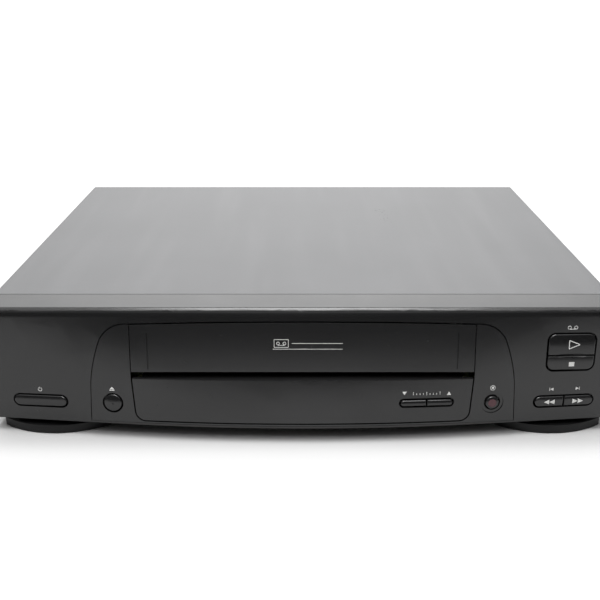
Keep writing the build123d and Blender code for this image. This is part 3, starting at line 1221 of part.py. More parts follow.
def board_parts():
    """Chips and capacitors on the main board."""
    x0, x1, y0, y1, height = SHIELD
    shield = slab(PCB_INNER + x0, PCB_INNER + x1, MAIN_BOARD_FRONT + y0, MAIN_BOARD_FRONT + y1,
                  PCB_TOP, PCB_TOP + height)
    parts = packages_at(on_main_board, CHIPS) + cans_at(on_main_board, CANS) + [shield]
    return Compound(children=[s for p in parts for s in p.solids()])


def supply_parts():
    """Capacitors and a finned heat sink of the power supply."""
    x0, x1, y0, y1, height = HEAT_SINK
    right, front = on_supply_board(x0, y0)
    left, back = on_supply_board(x1, y1)
    sink = slab(left, right, front, back, PCB_TOP, PCB_TOP + height)
    for step in range(SINK_FINS):
        x = left + 0.5 + step * SINK_PITCH
        sink += slab(x, x + SINK_FIN[0], back, back + SINK_FIN[1], PCB_TOP, PCB_TOP + height)
    return Compound(children=[s for p in cans_at(on_supply_board, SUPPLY_CANS) + [sink]
                              for s in p.solids()])


def transformer():
    """The mains transformer: a coil between the limbs of a laminated core."""
    width, depth, height = CORE
    x, y = on_supply_board(*CORE_PLACE)
    core = slab(x - width / 2, x + width / 2, y - depth / 2, y + depth / 2, PCB_TOP,
                PCB_TOP + height)
    inner = width / 2 - CORE_LIMB
    middle_limb = 2 * CORE_LIMB / 3
    for side in (-1, 1):
        edges = sorted((side * middle_limb, side * inner))
        core -= slab(x + edges[0], x + edges[1], y - depth, y + depth, PCB_TOP + CORE_LIMB,
                     PCB_TOP + height - CORE_LIMB)
    reach_out = depth / 2 + COIL_OVERHANG
    coil = slab(x - inner + COIL_SLACK, x + inner - COIL_SLACK, y - reach_out, y + reach_out,
                PCB_TOP + CORE_LIMB + COIL_SLACK, PCB_TOP + height - CORE_LIMB - COIL_SLACK)
    return core + fillet(coil.edges().filter_by(Axis.Z), COIL_ROUND)


def aerial_module():
    """The screened box behind the aerial jacks, with the pocket of the channel switch."""
    x0, x1 = TUNER_X
    front = REAR_PANEL_FRONT - TUNER_DEPTH
    box = slab(x0, x1, front, REAR_PANEL_FRONT, *TUNER_Z)
    pocket = switch_outline(SWITCH_POCKET[0], SWITCH_POCKET[1])
    box -= prism(pocket, REAR_PANEL_FRONT - SWITCH_POCKET[2], REAR_PANEL_FRONT + 1)
    for x in (x0 + 2 * TUNER_LEG, x1 - 2 * TUNER_LEG):
        box += slab(x - TUNER_LEG, x + TUNER_LEG, front + 2 * TUNER_LEG, front + 4 * TUNER_LEG,
                    PCB_TOP, TUNER_Z[0])
    return box


def switch_outline(width, height):
    """The front view of the slot of the channel switch, or of what fits round it."""
    return Plane.XZ * Pos(sum(TUNER_X) / 2, SWITCH_Z) * Rectangle(width, height)


def channel_switch():
    """The small slide switch at the back: a knob on a wider slider, at the left of its slot."""
    width, height, depth = SWITCH_POCKET
    slider = prism(switch_outline(width - SWITCH_TRAVEL - 2 * SWITCH_PLAY, height - 2 * SWITCH_PLAY),
                   REAR_PANEL_FRONT - depth + SWITCH_PLAY, REAR_PANEL_FRONT - SWITCH_PLAY)
    knob = prism(switch_outline(*SWITCH_KNOB), REAR_PANEL_FRONT - SWITCH_PLAY,
                 REAR_PANEL_BACK + SWITCH_REACH)
    return Pos(-SWITCH_TRAVEL / 2, 0, 0) * (slider + knob)


def aerial_jacks():
    """Two aerial jacks with a hexagonal collar."""
    jacks = []
    end = BODY_DEPTH + JACK_REACH
    for x in AERIAL_JACKS:
        jack = rod_y(x, AERIAL_Z, REAR_PANEL_FRONT, end, AERIAL_RADIUS)
        collar = Plane.XZ * Pos(x, AERIAL_Z) * RegularPolygon(HEX_RADIUS, 6)
        jack += prism(collar, REAR_PANEL_BACK, REAR_PANEL_BACK + HEX_WALL)
        jack -= rod_y(x, AERIAL_Z, BODY_DEPTH, end + 1, AERIAL_BORE)
        jack += rod_y(x, AERIAL_Z, BODY_DEPTH - 1, end - HEX_WALL, AERIAL_PIN)
        jacks.append(jack)
    return Compound(children=[s for j in jacks for s in j.solids()])


def av_block():
    """The moulded block that carries the four phono jacks."""
    block = slab(min(AV_JACKS_X) - AV_MARGIN, max(AV_JACKS_X) + AV_MARGIN, AV_FRONT,
                 REAR_PANEL_FRONT, min(AV_JACKS_Z) - AV_MARGIN, max(AV_JACKS_Z) + AV_MARGIN)
    for x in AV_JACKS_X:
        for z in AV_JACKS_Z:
            block -= rod_y(x, z, AV_FRONT + AV_WALL, BODY_DEPTH, AV_JACK_RADIUS + FIT)
    return block


def av_jacks():
    """Four phono jacks."""
    jacks = []
    front, end = AV_FRONT + AV_WALL, BODY_DEPTH + AV_REACH
    for x in AV_JACKS_X:
        for z in AV_JACKS_Z:
            jack = rod_y(x, z, front, end, AV_JACK_RADIUS)
            jack += rod_y(x, z, REAR_PANEL_BACK, REAR_PANEL_BACK + AV_COLLAR_WALL,
                          AV_JACK_RADIUS + AV_COLLAR)
            jack -= rod_y(x, z, front + AV_WALL, end + 1, AV_JACK_BORE)
            jacks.append(jack)
    return Compound(children=[s for j in jacks for s in j.solids()])


def inlet_outline(grow):
    """The front view of the mains inlet."""
    shape = RectangleRounded(INLET_WIDTH + 2 * grow, INLET_HEIGHT + 2 * grow,
                             INLET_CORNER)
    return Plane.XZ * Pos(INLET_X, INLET_Z) * shape


def mains_inlet():
    """The two-pin mains inlet, open to the back."""
    front = REAR_PANEL_BACK - INLET_DEPTH - WALL
    body = prism(inlet_outline(0), front, REAR_PANEL_BACK)
    body -= prism(inlet_outline(-WALL), front + WALL, BODY_DEPTH)
    for side in (-1, 1):
        body += rod_y(INLET_X + side * INLET_PINS[0], INLET_Z, front, REAR_PANEL_BACK - PIN_INSET,
                      INLET_PINS[1])
    return body


# ================================================================= the finished pieces
buttons = button_set()
pieces = {
    "front_bezel": front_bezel(),
    "centre_panel": centre_panel(),
    "lower_panel": lower_panel(),
    "cassette_flap": cassette_flap(),
    **buttons,
    "switch_board": switch_board(),
    "tact_switches": tact_switches(buttons),
    "bottom_tray": bottom_tray(),
    "top_cover": top_cover(),
    "cover_screws": cover_screws(),
    "rear_panel": rear_panel(),
    "front_feet": front_feet(),
    "rear_feet": rear_feet(),
    "deck_plate": deck_plate(),
    "left_bracket": side_bracket(-1),
    "right_bracket": side_bracket(1),
    "carriage": carriage(),
    "cassette_holder": cassette_holder(),
    "lower_drum": lower_drum(),
    "upper_drum": upper_drum(),
    "supply_reel": reel_table(-1),
    "takeup_reel": reel_table(1),
    "reel_spindles": reel_spindles(),
    "capstan_shaft": capstan_shaft(),
    "flywheel": flywheel(),
    "capstan_bush": capstan_bush(),
    "capstan_stator": capstan_stator(),
    "pinch_arm": pinch_arm(),
    "pinch_roller": pinch_roller(),
    "left_guide": guide_roller(-1),
    "right_guide": guide_roller(1),
    "tape_posts": tape_posts(),
    "erase_head": tape_head(from_drum(ERASE_HEAD_FROM_DRUM), *ERASE_HEAD),
    "audio_head": tape_head(from_drum(AUDIO_HEAD_FROM_DRUM), *AUDIO_HEAD),
    "cam_gear": cam_gear(),
    "worm": worm(),
    "loading_motor": loading_motor(),
    "main_board": main_board(),
    "board_parts": board_parts(),
    "supply_board": supply_board(),
    "supply_parts": supply_parts(),
    "transformer": transformer(),
    "aerial_module": aerial_module(),
    "channel_switch": channel_switch(),
    "aerial_jacks": aerial_jacks(),
    "av_block": av_block(),
    "av_jacks": av_jacks(),
    "mains_inlet": mains_inlet(),
}

front_most = PANEL_PROUD + reach(0, FACE_HEIGHT - ARCH_FOOT[1] - PANEL_GAP)
to_middle = Pos(0, (front_most - BODY_DEPTH - JACK_REACH) / 2, 0)
os.makedirs("parts", exist_ok=True)
for name, piece in pieces.items():
    export_step(to_middle * piece, f"parts/{name}.step")
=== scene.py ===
"""A front-loading video recorder: its finishes, printed marks, small fittings and studio.

The recorder's own frame is kept: +X to the right of someone who faces it, +Y from the face to the
back, +Z up, with the origin under the middle of the machine. Lengths are in metres, and small ones
are written as millimetres times MM.
"""
import math
import random

import bmesh
import bpy
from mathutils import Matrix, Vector
from mathutils.bvhtree import BVHTree


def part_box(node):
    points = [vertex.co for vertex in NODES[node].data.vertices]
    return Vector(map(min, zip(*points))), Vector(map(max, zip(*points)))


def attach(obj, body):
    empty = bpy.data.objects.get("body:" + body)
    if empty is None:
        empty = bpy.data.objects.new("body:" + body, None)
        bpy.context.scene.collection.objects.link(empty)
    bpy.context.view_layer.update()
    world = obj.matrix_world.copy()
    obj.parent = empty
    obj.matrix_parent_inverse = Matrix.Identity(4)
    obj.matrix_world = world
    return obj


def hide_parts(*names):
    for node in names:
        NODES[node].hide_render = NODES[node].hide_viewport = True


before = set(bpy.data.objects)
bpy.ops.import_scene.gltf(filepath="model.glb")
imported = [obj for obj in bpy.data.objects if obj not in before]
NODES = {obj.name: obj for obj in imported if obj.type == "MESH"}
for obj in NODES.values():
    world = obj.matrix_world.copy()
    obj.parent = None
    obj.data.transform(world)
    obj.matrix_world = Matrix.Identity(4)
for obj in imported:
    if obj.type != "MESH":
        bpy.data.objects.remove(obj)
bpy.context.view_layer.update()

MM = 0.001
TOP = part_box("top_cover")[1].z
UPWARDS = (0.0, 0.0, 0.0)
BACKWARDS = (-math.pi / 2, 0.0, 0.0)


def in_scene(name, data):
    """A new object, linked into the scene."""
    made = bpy.data.objects.new(name, data)
    bpy.context.scene.collection.objects.link(made)
    return made


def new_node(tree, kind, settings, inputs):
    """A node of any tree: its settings first, then the values or links of its sockets."""
    made = tree.nodes.new(kind)
    for name, value in settings.items():
        setattr(made, name, value)
    for socket, value in inputs.items():
        if isinstance(value, bpy.types.NodeSocket):
            tree.links.new(value, made.inputs[socket])
        else:
            made.inputs[socket].default_value = value
    return made


# ================================================================ shader expressions
class Value:
    """A number or a colour that flows between nodes, with the arithmetic written as Python."""

    def __init__(self, finish, socket):
        self.finish = finish
        self.socket = socket

    def maths(self, operation, *others):
        inputs = dict(enumerate((self, *others)))
        return self.finish.node("Math", {"operation": operation}, inputs)

    def __add__(self, other):
        return self.maths("ADD", other)

    def __radd__(self, other):
        return self.maths("ADD", other)

    def __sub__(self, other):
        return self.maths("SUBTRACT", other)

    def __rsub__(self, other):
        return self.finish.node("Math", {"operation": "SUBTRACT"}, {0: other, 1: self})

    def __mul__(self, other):
        return self.maths("MULTIPLY", other)

    def __rmul__(self, other):
        return self.maths("MULTIPLY", other)

    def __truediv__(self, other):
        return self.maths("DIVIDE", other)

    def over(self, low, high):
        """0 at low and 1 at high, with a smooth step between. Low may be the greater one."""
        settings = {"interpolation_type": "SMOOTHSTEP"}
        inputs = {"Value": self, "From Min": low, "From Max": high}
        return self.finish.node("MapRange", settings, inputs)

    def past(self, place):
        """0 up to a place, in metres, and 1 just past it."""
        return self.over(place + 0.1 * MM, place + 0.3 * MM)

    def distance(self):
        return self.maths("ABSOLUTE")


class Finish:
    """The nodes of a material, or of the world."""

    def __init__(self, owner):
        """Starts a new material of that name, or the world that is handed in."""
        if isinstance(owner, str):
            owner = bpy.data.materials.new(owner)
            owner.use_nodes = True
        self.material = owner
        self.tree = owner.node_tree
        self.tree.nodes.clear()

    def node(self, kind, settings=None, inputs=None, output=0):
        """Any shader node, with numbers or values on its sockets. Returns one of its outputs."""
        linked_inputs = {socket: value.socket if isinstance(value, Value) else value
                         for socket, value in (inputs or {}).items()}
        made = new_node(self.tree, "ShaderNode" + kind, settings or {}, linked_inputs)
        return Value(self, made.outputs[output]) if made.outputs else made

    def place(self, output="Object"):
        """The place on the object, in metres, or another output of the same node."""
        return self.node("TexCoord", output=output)

    def axes(self, output="Object"):
        """The same place as three numbers."""
        split = new_node(self.tree, "ShaderNodeSeparateXYZ", {}, {0: self.place(output).socket})
        return [Value(self, axis) for axis in split.outputs]

    def stretched(self, x, y, z):
        """The place, with each axis stretched, for streaks and brushing."""
        inputs = {0: self.place(), 1: (x, y, z)}
        return self.node("VectorMath", {"operation": "MULTIPLY"}, inputs)

    def noise(self, size, detail=2.0, place=None, roughness=0.5):
        """Noise whose blotches are about so many metres across, from 0 to 1."""
        inputs = {"Vector": place or self.place(), "Scale": 1 / size, "Detail": detail,
                  "Roughness": roughness}
        return self.node("TexNoise", {}, inputs)

    def cells(self, size, settings=None):
        """Cells of about that size: the distance from their middles, unless settings say more."""
        inputs = {"Vector": self.place(), "Scale": 1 / size}
        return self.node("TexVoronoi", settings or {}, inputs)

    def blend(self, share, first, second):
        """A colour between two others."""
        def filled(colour):
            return colour if isinstance(colour, Value) else (*colour, 1.0)
        inputs = {0: share, 6: filled(first), 7: filled(second)}
        return self.node("Mix", {"data_type": "RGBA"}, inputs, output=2)

    def bump(self, height, distance, strength=1.0, onto=None):
        inputs = {"Height": height, "Distance": distance, "Strength": strength}
        if onto is not None:
            inputs["Normal"] = onto
        return self.node("Bump", {}, inputs)

    def principled(self, **inputs):
        """Ends the material in a Principled shader. Spaces in socket names are underscores."""
        sockets = {name.replace("_", " "): value for name, value in inputs.items()}
        surface = self.node("BsdfPrincipled", {}, sockets)
        self.node("OutputMaterial", {}, {"Surface": surface})
        return self.material


def shaded(colour, share, lift=0.0):
    """A colour made darker or lighter, as numbers."""
    return tuple(channel * share + lift for channel in colour)


# ================================================================ finishes
def moulding(name, colour, gloss, grain=0.35 * MM, depth=0.02 * MM, rolled=None, specular=0.5):
    """Spark-eroded charcoal moulding: an even fine grain, handled smoother here and there.

    Where rolled is given, the surface rolls back above a height: (foot, width, steepest slope).
    """
    finish = Finish(name)
    spark = finish.noise(grain, 3.0, roughness=0.6)
    pits = finish.cells(grain * 2.2)
    handled = finish.noise(45 * MM, 4.0).over(0.35, 0.75)
    dust = finish.noise(4 * MM, 5.0, roughness=0.7).over(0.55, 0.8)
    onto = None
    if rolled:
        foot, width, slope = rolled
        up = (finish.axes()[2] - foot).maths("MAXIMUM", 0.0).maths("MINIMUM", width)
        onto = finish.bump(up * up * (-slope / (2 * width)), 1.0)
    return finish.principled(
        Base_Color=finish.blend(handled * 0.5 + spark * 0.35, colour, shaded(colour, 1.35, 0.002)),
        Roughness=gloss + spark * 0.08 - handled * 0.05 + dust * 0.06,
        Normal=finish.bump(spark * 0.6 + pits * 0.4, depth, onto=onto),
        Specular_IOR_Level=specular)


def cover_paint(scuff_x, scuff_y):
    """Fine textured charcoal paint on folded steel, with a few rubbed streaks and one scuff."""
    finish = Finish("cover_paint")
    x, y = finish.axes()[:2]
    texture = finish.noise(0.5 * MM, 3.0, roughness=0.65)
    flake = finish.cells(0.28 * MM)
    cloud = finish.noise(90 * MM, 3.0).over(0.3, 0.75)
    streak = finish.noise(22 * MM, 2.0, finish.stretched(1.0, 0.1, 1.0)).over(0.45, 0.85)
    # the scuff: short scratches inside a narrow patch
    across = (x - scuff_x).distance().over(7 * MM, 3 * MM)
    along = (y - scuff_y).distance().over(26 * MM, 12 * MM)
    scratches = finish.noise(1.6 * MM, 4.0, finish.stretched(1.0, 0.5, 1.0), 0.75)
    scuff = scratches.over(0.58, 0.66) * across * along
    charcoal = finish.blend(cloud * 0.6 + flake * 0.4, (0.066, 0.067, 0.069), (0.090, 0.091, 0.094))
    rubbed = finish.blend(streak * 0.12, charcoal, (0.14, 0.14, 0.142))
    return finish.principled(
        Base_Color=finish.blend(scuff * 0.5, rubbed, (0.012, 0.012, 0.012)),
        Roughness=0.36 + texture * 0.08 - streak * 0.015 + scuff * 0.2 + cloud * 0.02,
        Normal=finish.bump(texture, 0.02 * MM, 0.7))


def zinc_sheet():
    """Zinc-plated sheet: a faint spangle, drawn lines and dull fingermarks."""
    finish = Finish("zinc_sheet")
    spangle = finish.cells(6 * MM)
    drawn = finish.noise(0.6 * MM, 2.0, finish.stretched(1.0, 0.04, 1.0))
    marks = finish.noise(30 * MM, 4.0).over(0.45, 0.75)
    zinc = finish.blend(spangle * 0.5 + drawn * 0.5, (0.34, 0.345, 0.34), (0.46, 0.46, 0.45))
    return finish.principled(
        Base_Color=finish.blend(marks * 0.3, zinc, (0.30, 0.29, 0.27)),
        Metallic=1.0,
        Roughness=0.30 + drawn * 0.12 + marks * 0.12,
        Normal=finish.bump(drawn, 0.01 * MM, 0.5))


def turned_metal(name, colour, roughness):
    """Turned or ground metal, with fine tool lines round the part."""
    finish = Finish(name)
    tool = finish.noise(0.25 * MM, 2.0, finish.stretched(0.15, 0.15, 1.0))
    tarnish = finish.noise(8 * MM, 4.0).over(0.4, 0.8)
    return finish.principled(
        Base_Color=finish.blend(tarnish * 0.45, colour, shaded(colour, 0.72)),
        Metallic=1.0,
        Roughness=roughness + tool * 0.12 + tarnish * 0.08,
        Normal=finish.bump(tool, 0.008 * MM, 0.5))


def laminated_core(coil_stands_out):
    """Varnished laminations of the transformer round a coil wrapped in amber tape."""
    finish = Finish("laminated_core")
    low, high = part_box("transformer")
    y = finish.axes()[1]
    sheets = (y / (0.5 * MM)).maths("FRACT").over(0.2, 0.5)
    worn = finish.noise(4 * MM, 4.0).over(0.5, 0.75)
    core = finish.blend(sheets * 0.6 + worn * 0.3, (0.03, 0.028, 0.026), (0.16, 0.15, 0.14))
    tape = finish.blend(worn, (0.50, 0.28, 0.05), (0.62, 0.40, 0.10))
    coil = (y - (low.y + high.y) / 2).distance().past((high.y - low.y) / 2 - coil_stands_out)
    return finish.principled(
        Base_Color=finish.blend(coil, core, tape),
        Metallic=0.4 - coil * 0.4,
        Roughness=0.45 + worn * 0.1 - coil * 0.15)


def rubber():
    """Dull rubber with a bloom."""
    finish = Finish("rubber")
    bloom = finish.noise(6 * MM, 5.0).over(0.4, 0.8)
    grain = finish.noise(0.3 * MM)
    return finish.principled(
        Base_Color=finish.blend(bloom, (0.018, 0.018, 0.018), (0.045, 0.044, 0.042)),
        Roughness=0.72 + grain * 0.15,
        Normal=finish.bump(grain, 0.03 * MM, 0.6))


def natural_moulding():
    """Natural, unpainted engineering plastic, slightly waxy."""
    finish = Finish("natural_moulding")
    cloud = finish.noise(6 * MM, 3.0)
    grain = finish.noise(0.4 * MM)
    return finish.principled(
        Base_Color=finish.blend(cloud, (0.72, 0.71, 0.66), (0.80, 0.79, 0.75)),
        Roughness=0.34 + grain * 0.1,
        Subsurface_Weight=0.1,
        Normal=finish.bump(grain, 0.01 * MM, 0.5))


def board_laminate():
    """Varnished laminate with tracks under the varnish and bright pads."""
    finish = Finish("board_laminate")
    fibre = finish.noise(0.6 * MM, 2.0, finish.stretched(1.0, 0.2, 1.0))
    tracks = finish.cells(9 * MM, {"feature": "DISTANCE_TO_EDGE"}).over(0.09, 0.06)
    pads = finish.cells(2.6 * MM, {"distance": "CHEBYCHEV"}).over(0.22, 0.16)
    laminate = finish.blend(fibre * 0.5, (0.20, 0.23, 0.07), (0.30, 0.30, 0.12))
    tracked = finish.blend(tracks * 0.7, laminate, (0.09, 0.16, 0.05))
    return finish.principled(
        Base_Color=finish.blend(pads * 0.8, tracked, (0.55, 0.55, 0.52)),
        Roughness=0.28 + fibre * 0.1 - tracks * 0.05,
        Coat_Weight=0.3,
        Normal=finish.bump(tracks + pads, 0.04 * MM, 0.5))


def packages():
    """Black moulded chips and sleeved capacitors."""
    finish = Finish("packages")
    sleeve = finish.noise(20 * MM).over(0.45, 0.55)
    grain = finish.noise(0.5 * MM)
    return finish.principled(
        Base_Color=finish.blend(sleeve * 0.6, (0.022, 0.022, 0.024), (0.03, 0.035, 0.07)),
        Roughness=0.42 + grain * 0.15,
        Normal=finish.bump(grain, 0.02 * MM, 0.5))


def wound_stator(board_thickness):
    """The capstan motor's board, with enamelled copper over it."""
    finish = Finish("wound_stator")
    coil = finish.axes()[2].past(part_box("capstan_stator")[0].z + board_thickness)
    turns = finish.noise(0.4 * MM, 2.0, finish.stretched(0.3, 0.3, 1.0))
    copper = finish.blend(turns, (0.42, 0.14, 0.05), (0.62, 0.26, 0.10))
    return finish.principled(
        Base_Color=finish.blend(coil, (0.16, 0.19, 0.06), copper),
        Metallic=coil * 0.85,
        Roughness=0.30 + turns * 0.12,
        Coat_Weight=0.4,
        Normal=finish.bump(turns, 0.04 * MM, 0.6))


def printed_ink(name, colour):
    """Screen-printed ink or lacquer, a little uneven and worn."""
    finish = Finish(name)
    wear = finish.noise(0.7 * MM, 3.0).over(0.3, 0.7)
    return finish.principled(
        Base_Color=finish.blend(wear, shaded(colour, 0.8), colour),
        Roughness=0.45 + wear * 0.1)


CHARCOAL = (0.0085, 0.0085, 0.0088)
KEY_CHARCOAL = (0.0070, 0.0070, 0.0073)
UPPER_EDGE = 3.4 * MM           # height of the rounded upper edge of the bezel
UPPER_EDGE_FOOT = TOP - 5.2 * MM
UPPER_EDGE_SLOPE = 0.27
KEY_SLOPE = 0.2                 # of the upper part of a key, at its rim
KEY_FOOT = 0.35                 # share of a key's height where its upper part starts to roll back

CASE = moulding("case_moulding", CHARCOAL, 0.20,
                rolled=(UPPER_EDGE_FOOT, UPPER_EDGE, UPPER_EDGE_SLOPE))
PANEL = moulding("panel_moulding", CHARCOAL, 0.20)
# painted seam shade: a near-black, dull finish for the eased edges, standing in for the shade in
# the gaps between parts
EDGES = moulding("painted_seam_shade", (0.0022, 0.0022, 0.0023), 0.45, specular=0.12)
FEET = moulding("foot_moulding", (0.0040, 0.0040, 0.0042), 0.42, specular=0.25)
TRAY = moulding("tray_moulding", (0.0110, 0.0110, 0.0112), 0.45, grain=0.5 * MM, depth=0.03 * MM)
SOCKETS = moulding("socket_moulding", (0.010, 0.010, 0.010), 0.25, grain=0.6 * MM)
COVER = cover_paint(scuff_x=64 * MM, scuff_y=55 * MM)
ZINC = zinc_sheet()
ALLOY = turned_metal("machined_alloy", (0.78, 0.78, 0.79), 0.16)
GROUND = turned_metal("ground_steel", (0.62, 0.62, 0.61), 0.20)
BRASS = turned_metal("turned_brass", (0.72, 0.52, 0.22), 0.24)
NICKEL = turned_metal("nickel_plate", (0.70, 0.68, 0.64), 0.14)
# blackened steel of the cover screws; the same dark finish makes the painted shade of the crosses
# on screw heads
BLACKENED_STEEL_AND_CROSS_SHADE = turned_metal("blackened_steel_and_cross_shade", (0.09, 0.088, 0.085), 0.34)
TINNED = turned_metal("tinned_wire", (0.66, 0.66, 0.64), 0.22)
CORE = laminated_core(coil_stands_out=5 * MM)
STATOR = wound_stator(board_thickness=1 * MM)
RUBBER = rubber()
NATURAL = natural_moulding()
LAMINATE = board_laminate()
PACKAGES = packages()
INK = printed_ink("light_print", (0.72, 0.72, 0.70))
RECORD_INK = printed_ink("record_red", (0.075, 0.026, 0.033))
RESISTOR = printed_ink("resistor_lacquer", (0.50, 0.36, 0.20))
VIDEO_RING = printed_ink("yellow_insulator", (0.60, 0.46, 0.03))
SOUND_RING = printed_ink("white_insulator", (0.66, 0.66, 0.62))

KEYS = ("power", "eject", "record", "channel_down", "channel_up", "rewind", "forward", "play",
        "stop")

NODE_FINISH = {
    ZINC: ("rear_panel", "deck_plate", "left_bracket", "right_bracket", "carriage",
           "cassette_holder", "aerial_module", "loading_motor"),
    ALLOY: ("lower_drum", "upper_drum", "erase_head", "audio_head", "supply_parts"),
    GROUND: ("reel_spindles", "capstan_shaft", "flywheel", "pinch_arm", "left_guide",
             "right_guide", "tape_posts"),
    BRASS: ("capstan_bush",),
    NICKEL: ("aerial_jacks", "av_jacks"),
    BLACKENED_STEEL_AND_CROSS_SHADE: ("cover_screws",),
    CORE: ("transformer",),
    RUBBER: ("rear_feet", "pinch_roller"),
    NATURAL: ("cam_gear", "worm"),
    LAMINATE: ("main_board", "supply_board", "switch_board"),
    PACKAGES: ("board_parts", "tact_switches"),
    STATOR: ("capstan_stator",),
    SOCKETS: ("av_block", "mains_inlet", "supply_reel", "takeup_reel", "channel_switch"),
    CASE: ("front_bezel",),
    FEET: ("front_feet",),
    PANEL: ("centre_panel", "lower_panel", "cassette_flap"),
    TRAY: ("bottom_tray",),
    COVER: ("top_cover",),
}


def key_moulding(key):
    """The moulding of a key, whose upper part rolls back towards its rim."""
    low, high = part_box(key + "_button")
    foot = low.z + (high.z - low.z) * KEY_FOOT
    return moulding(key + "_moulding", KEY_CHARCOAL, 0.20, grain=0.3 * MM, depth=0.012 * MM,
                    rolled=(foot, high.z - foot, KEY_SLOPE))


def finish_nodes():
    """Gives every carried-over piece its finish."""
    finishes = [(name, material) for material, names in NODE_FINISH.items() for name in names]
    finishes += [(key + "_button", key_moulding(key)) for key in KEYS]
    for name, material in finishes:
        mesh = NODES[name].data
        mesh.materials.clear()
        mesh.materials.append(material)


# ================================================================ eased edges, with painted seam shade
SAME_PLACE = 0.002 * MM                 # corners nearer than this are one corner
FLAT_ANGLE = math.radians(0.4)          # faces that turn less than this are one face
HARD_ANGLE = math.radians(40.0)         # edges that turn more than this are eased

EASED = (("centre_panel", "case", "panel_plastic", 0.6 * MM),
         ("lower_panel", "case", "panel_plastic", 0.5 * MM),
         ("cassette_flap", "flap", "panel_plastic", 0.5 * MM),
         ("front_bezel", "case", "case_plastic", 0.45 * MM))


def linked(name, mesh, body):
    """Puts a new piece on a body."""
    piece = in_scene(name, mesh)
    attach(piece, body)
    return piece


def eased(node, body, width):
    """A copy of a moulded piece whose hard edges are rounded and given a near-black finish, painted
    seam shade.
    """
    source = NODES[node].data
    shell = bmesh.new()
    shell.from_mesh(source)
    bmesh.ops.remove_doubles(shell, verts=shell.verts[:], dist=SAME_PLACE)
    bmesh.ops.dissolve_limit(shell, angle_limit=FLAT_ANGLE, verts=shell.verts[:],
                             edges=shell.edges[:])
    hard = [edge for edge in shell.edges
            if edge.is_manifold and edge.calc_face_angle(0.0) > HARD_ANGLE]
    # the new faces of the bevel take the second material, the painted seam shade
    bmesh.ops.bevel(shell, geom=hard, offset=width, offset_type="OFFSET", segments=2, profile=0.5,
                    affect="EDGES", clamp_overlap=True, material=1)
    bmesh.ops.recalc_face_normals(shell, faces=shell.faces[:])
    for face in shell.faces:
        face.smooth = True
    mesh = bpy.data.meshes.new(node + "_moulded")
    shell.to_mesh(mesh)
    shell.free()
    mesh.set_sharp_from_angle(angle=HARD_ANGLE)
    for material in (source.materials[0], EDGES):
        mesh.materials.append(material)
    piece = linked(node + "_moulded", mesh, body)
    weighted = piece.modifiers.new("weighted", "WEIGHTED_NORMAL")
    weighted.keep_sharp = True
    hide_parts(node)


def ease_mouldings():
    """Eases the mouldings whose edges show at the face."""
    for node, body, slot, width in EASED:
        eased(node, body, width)


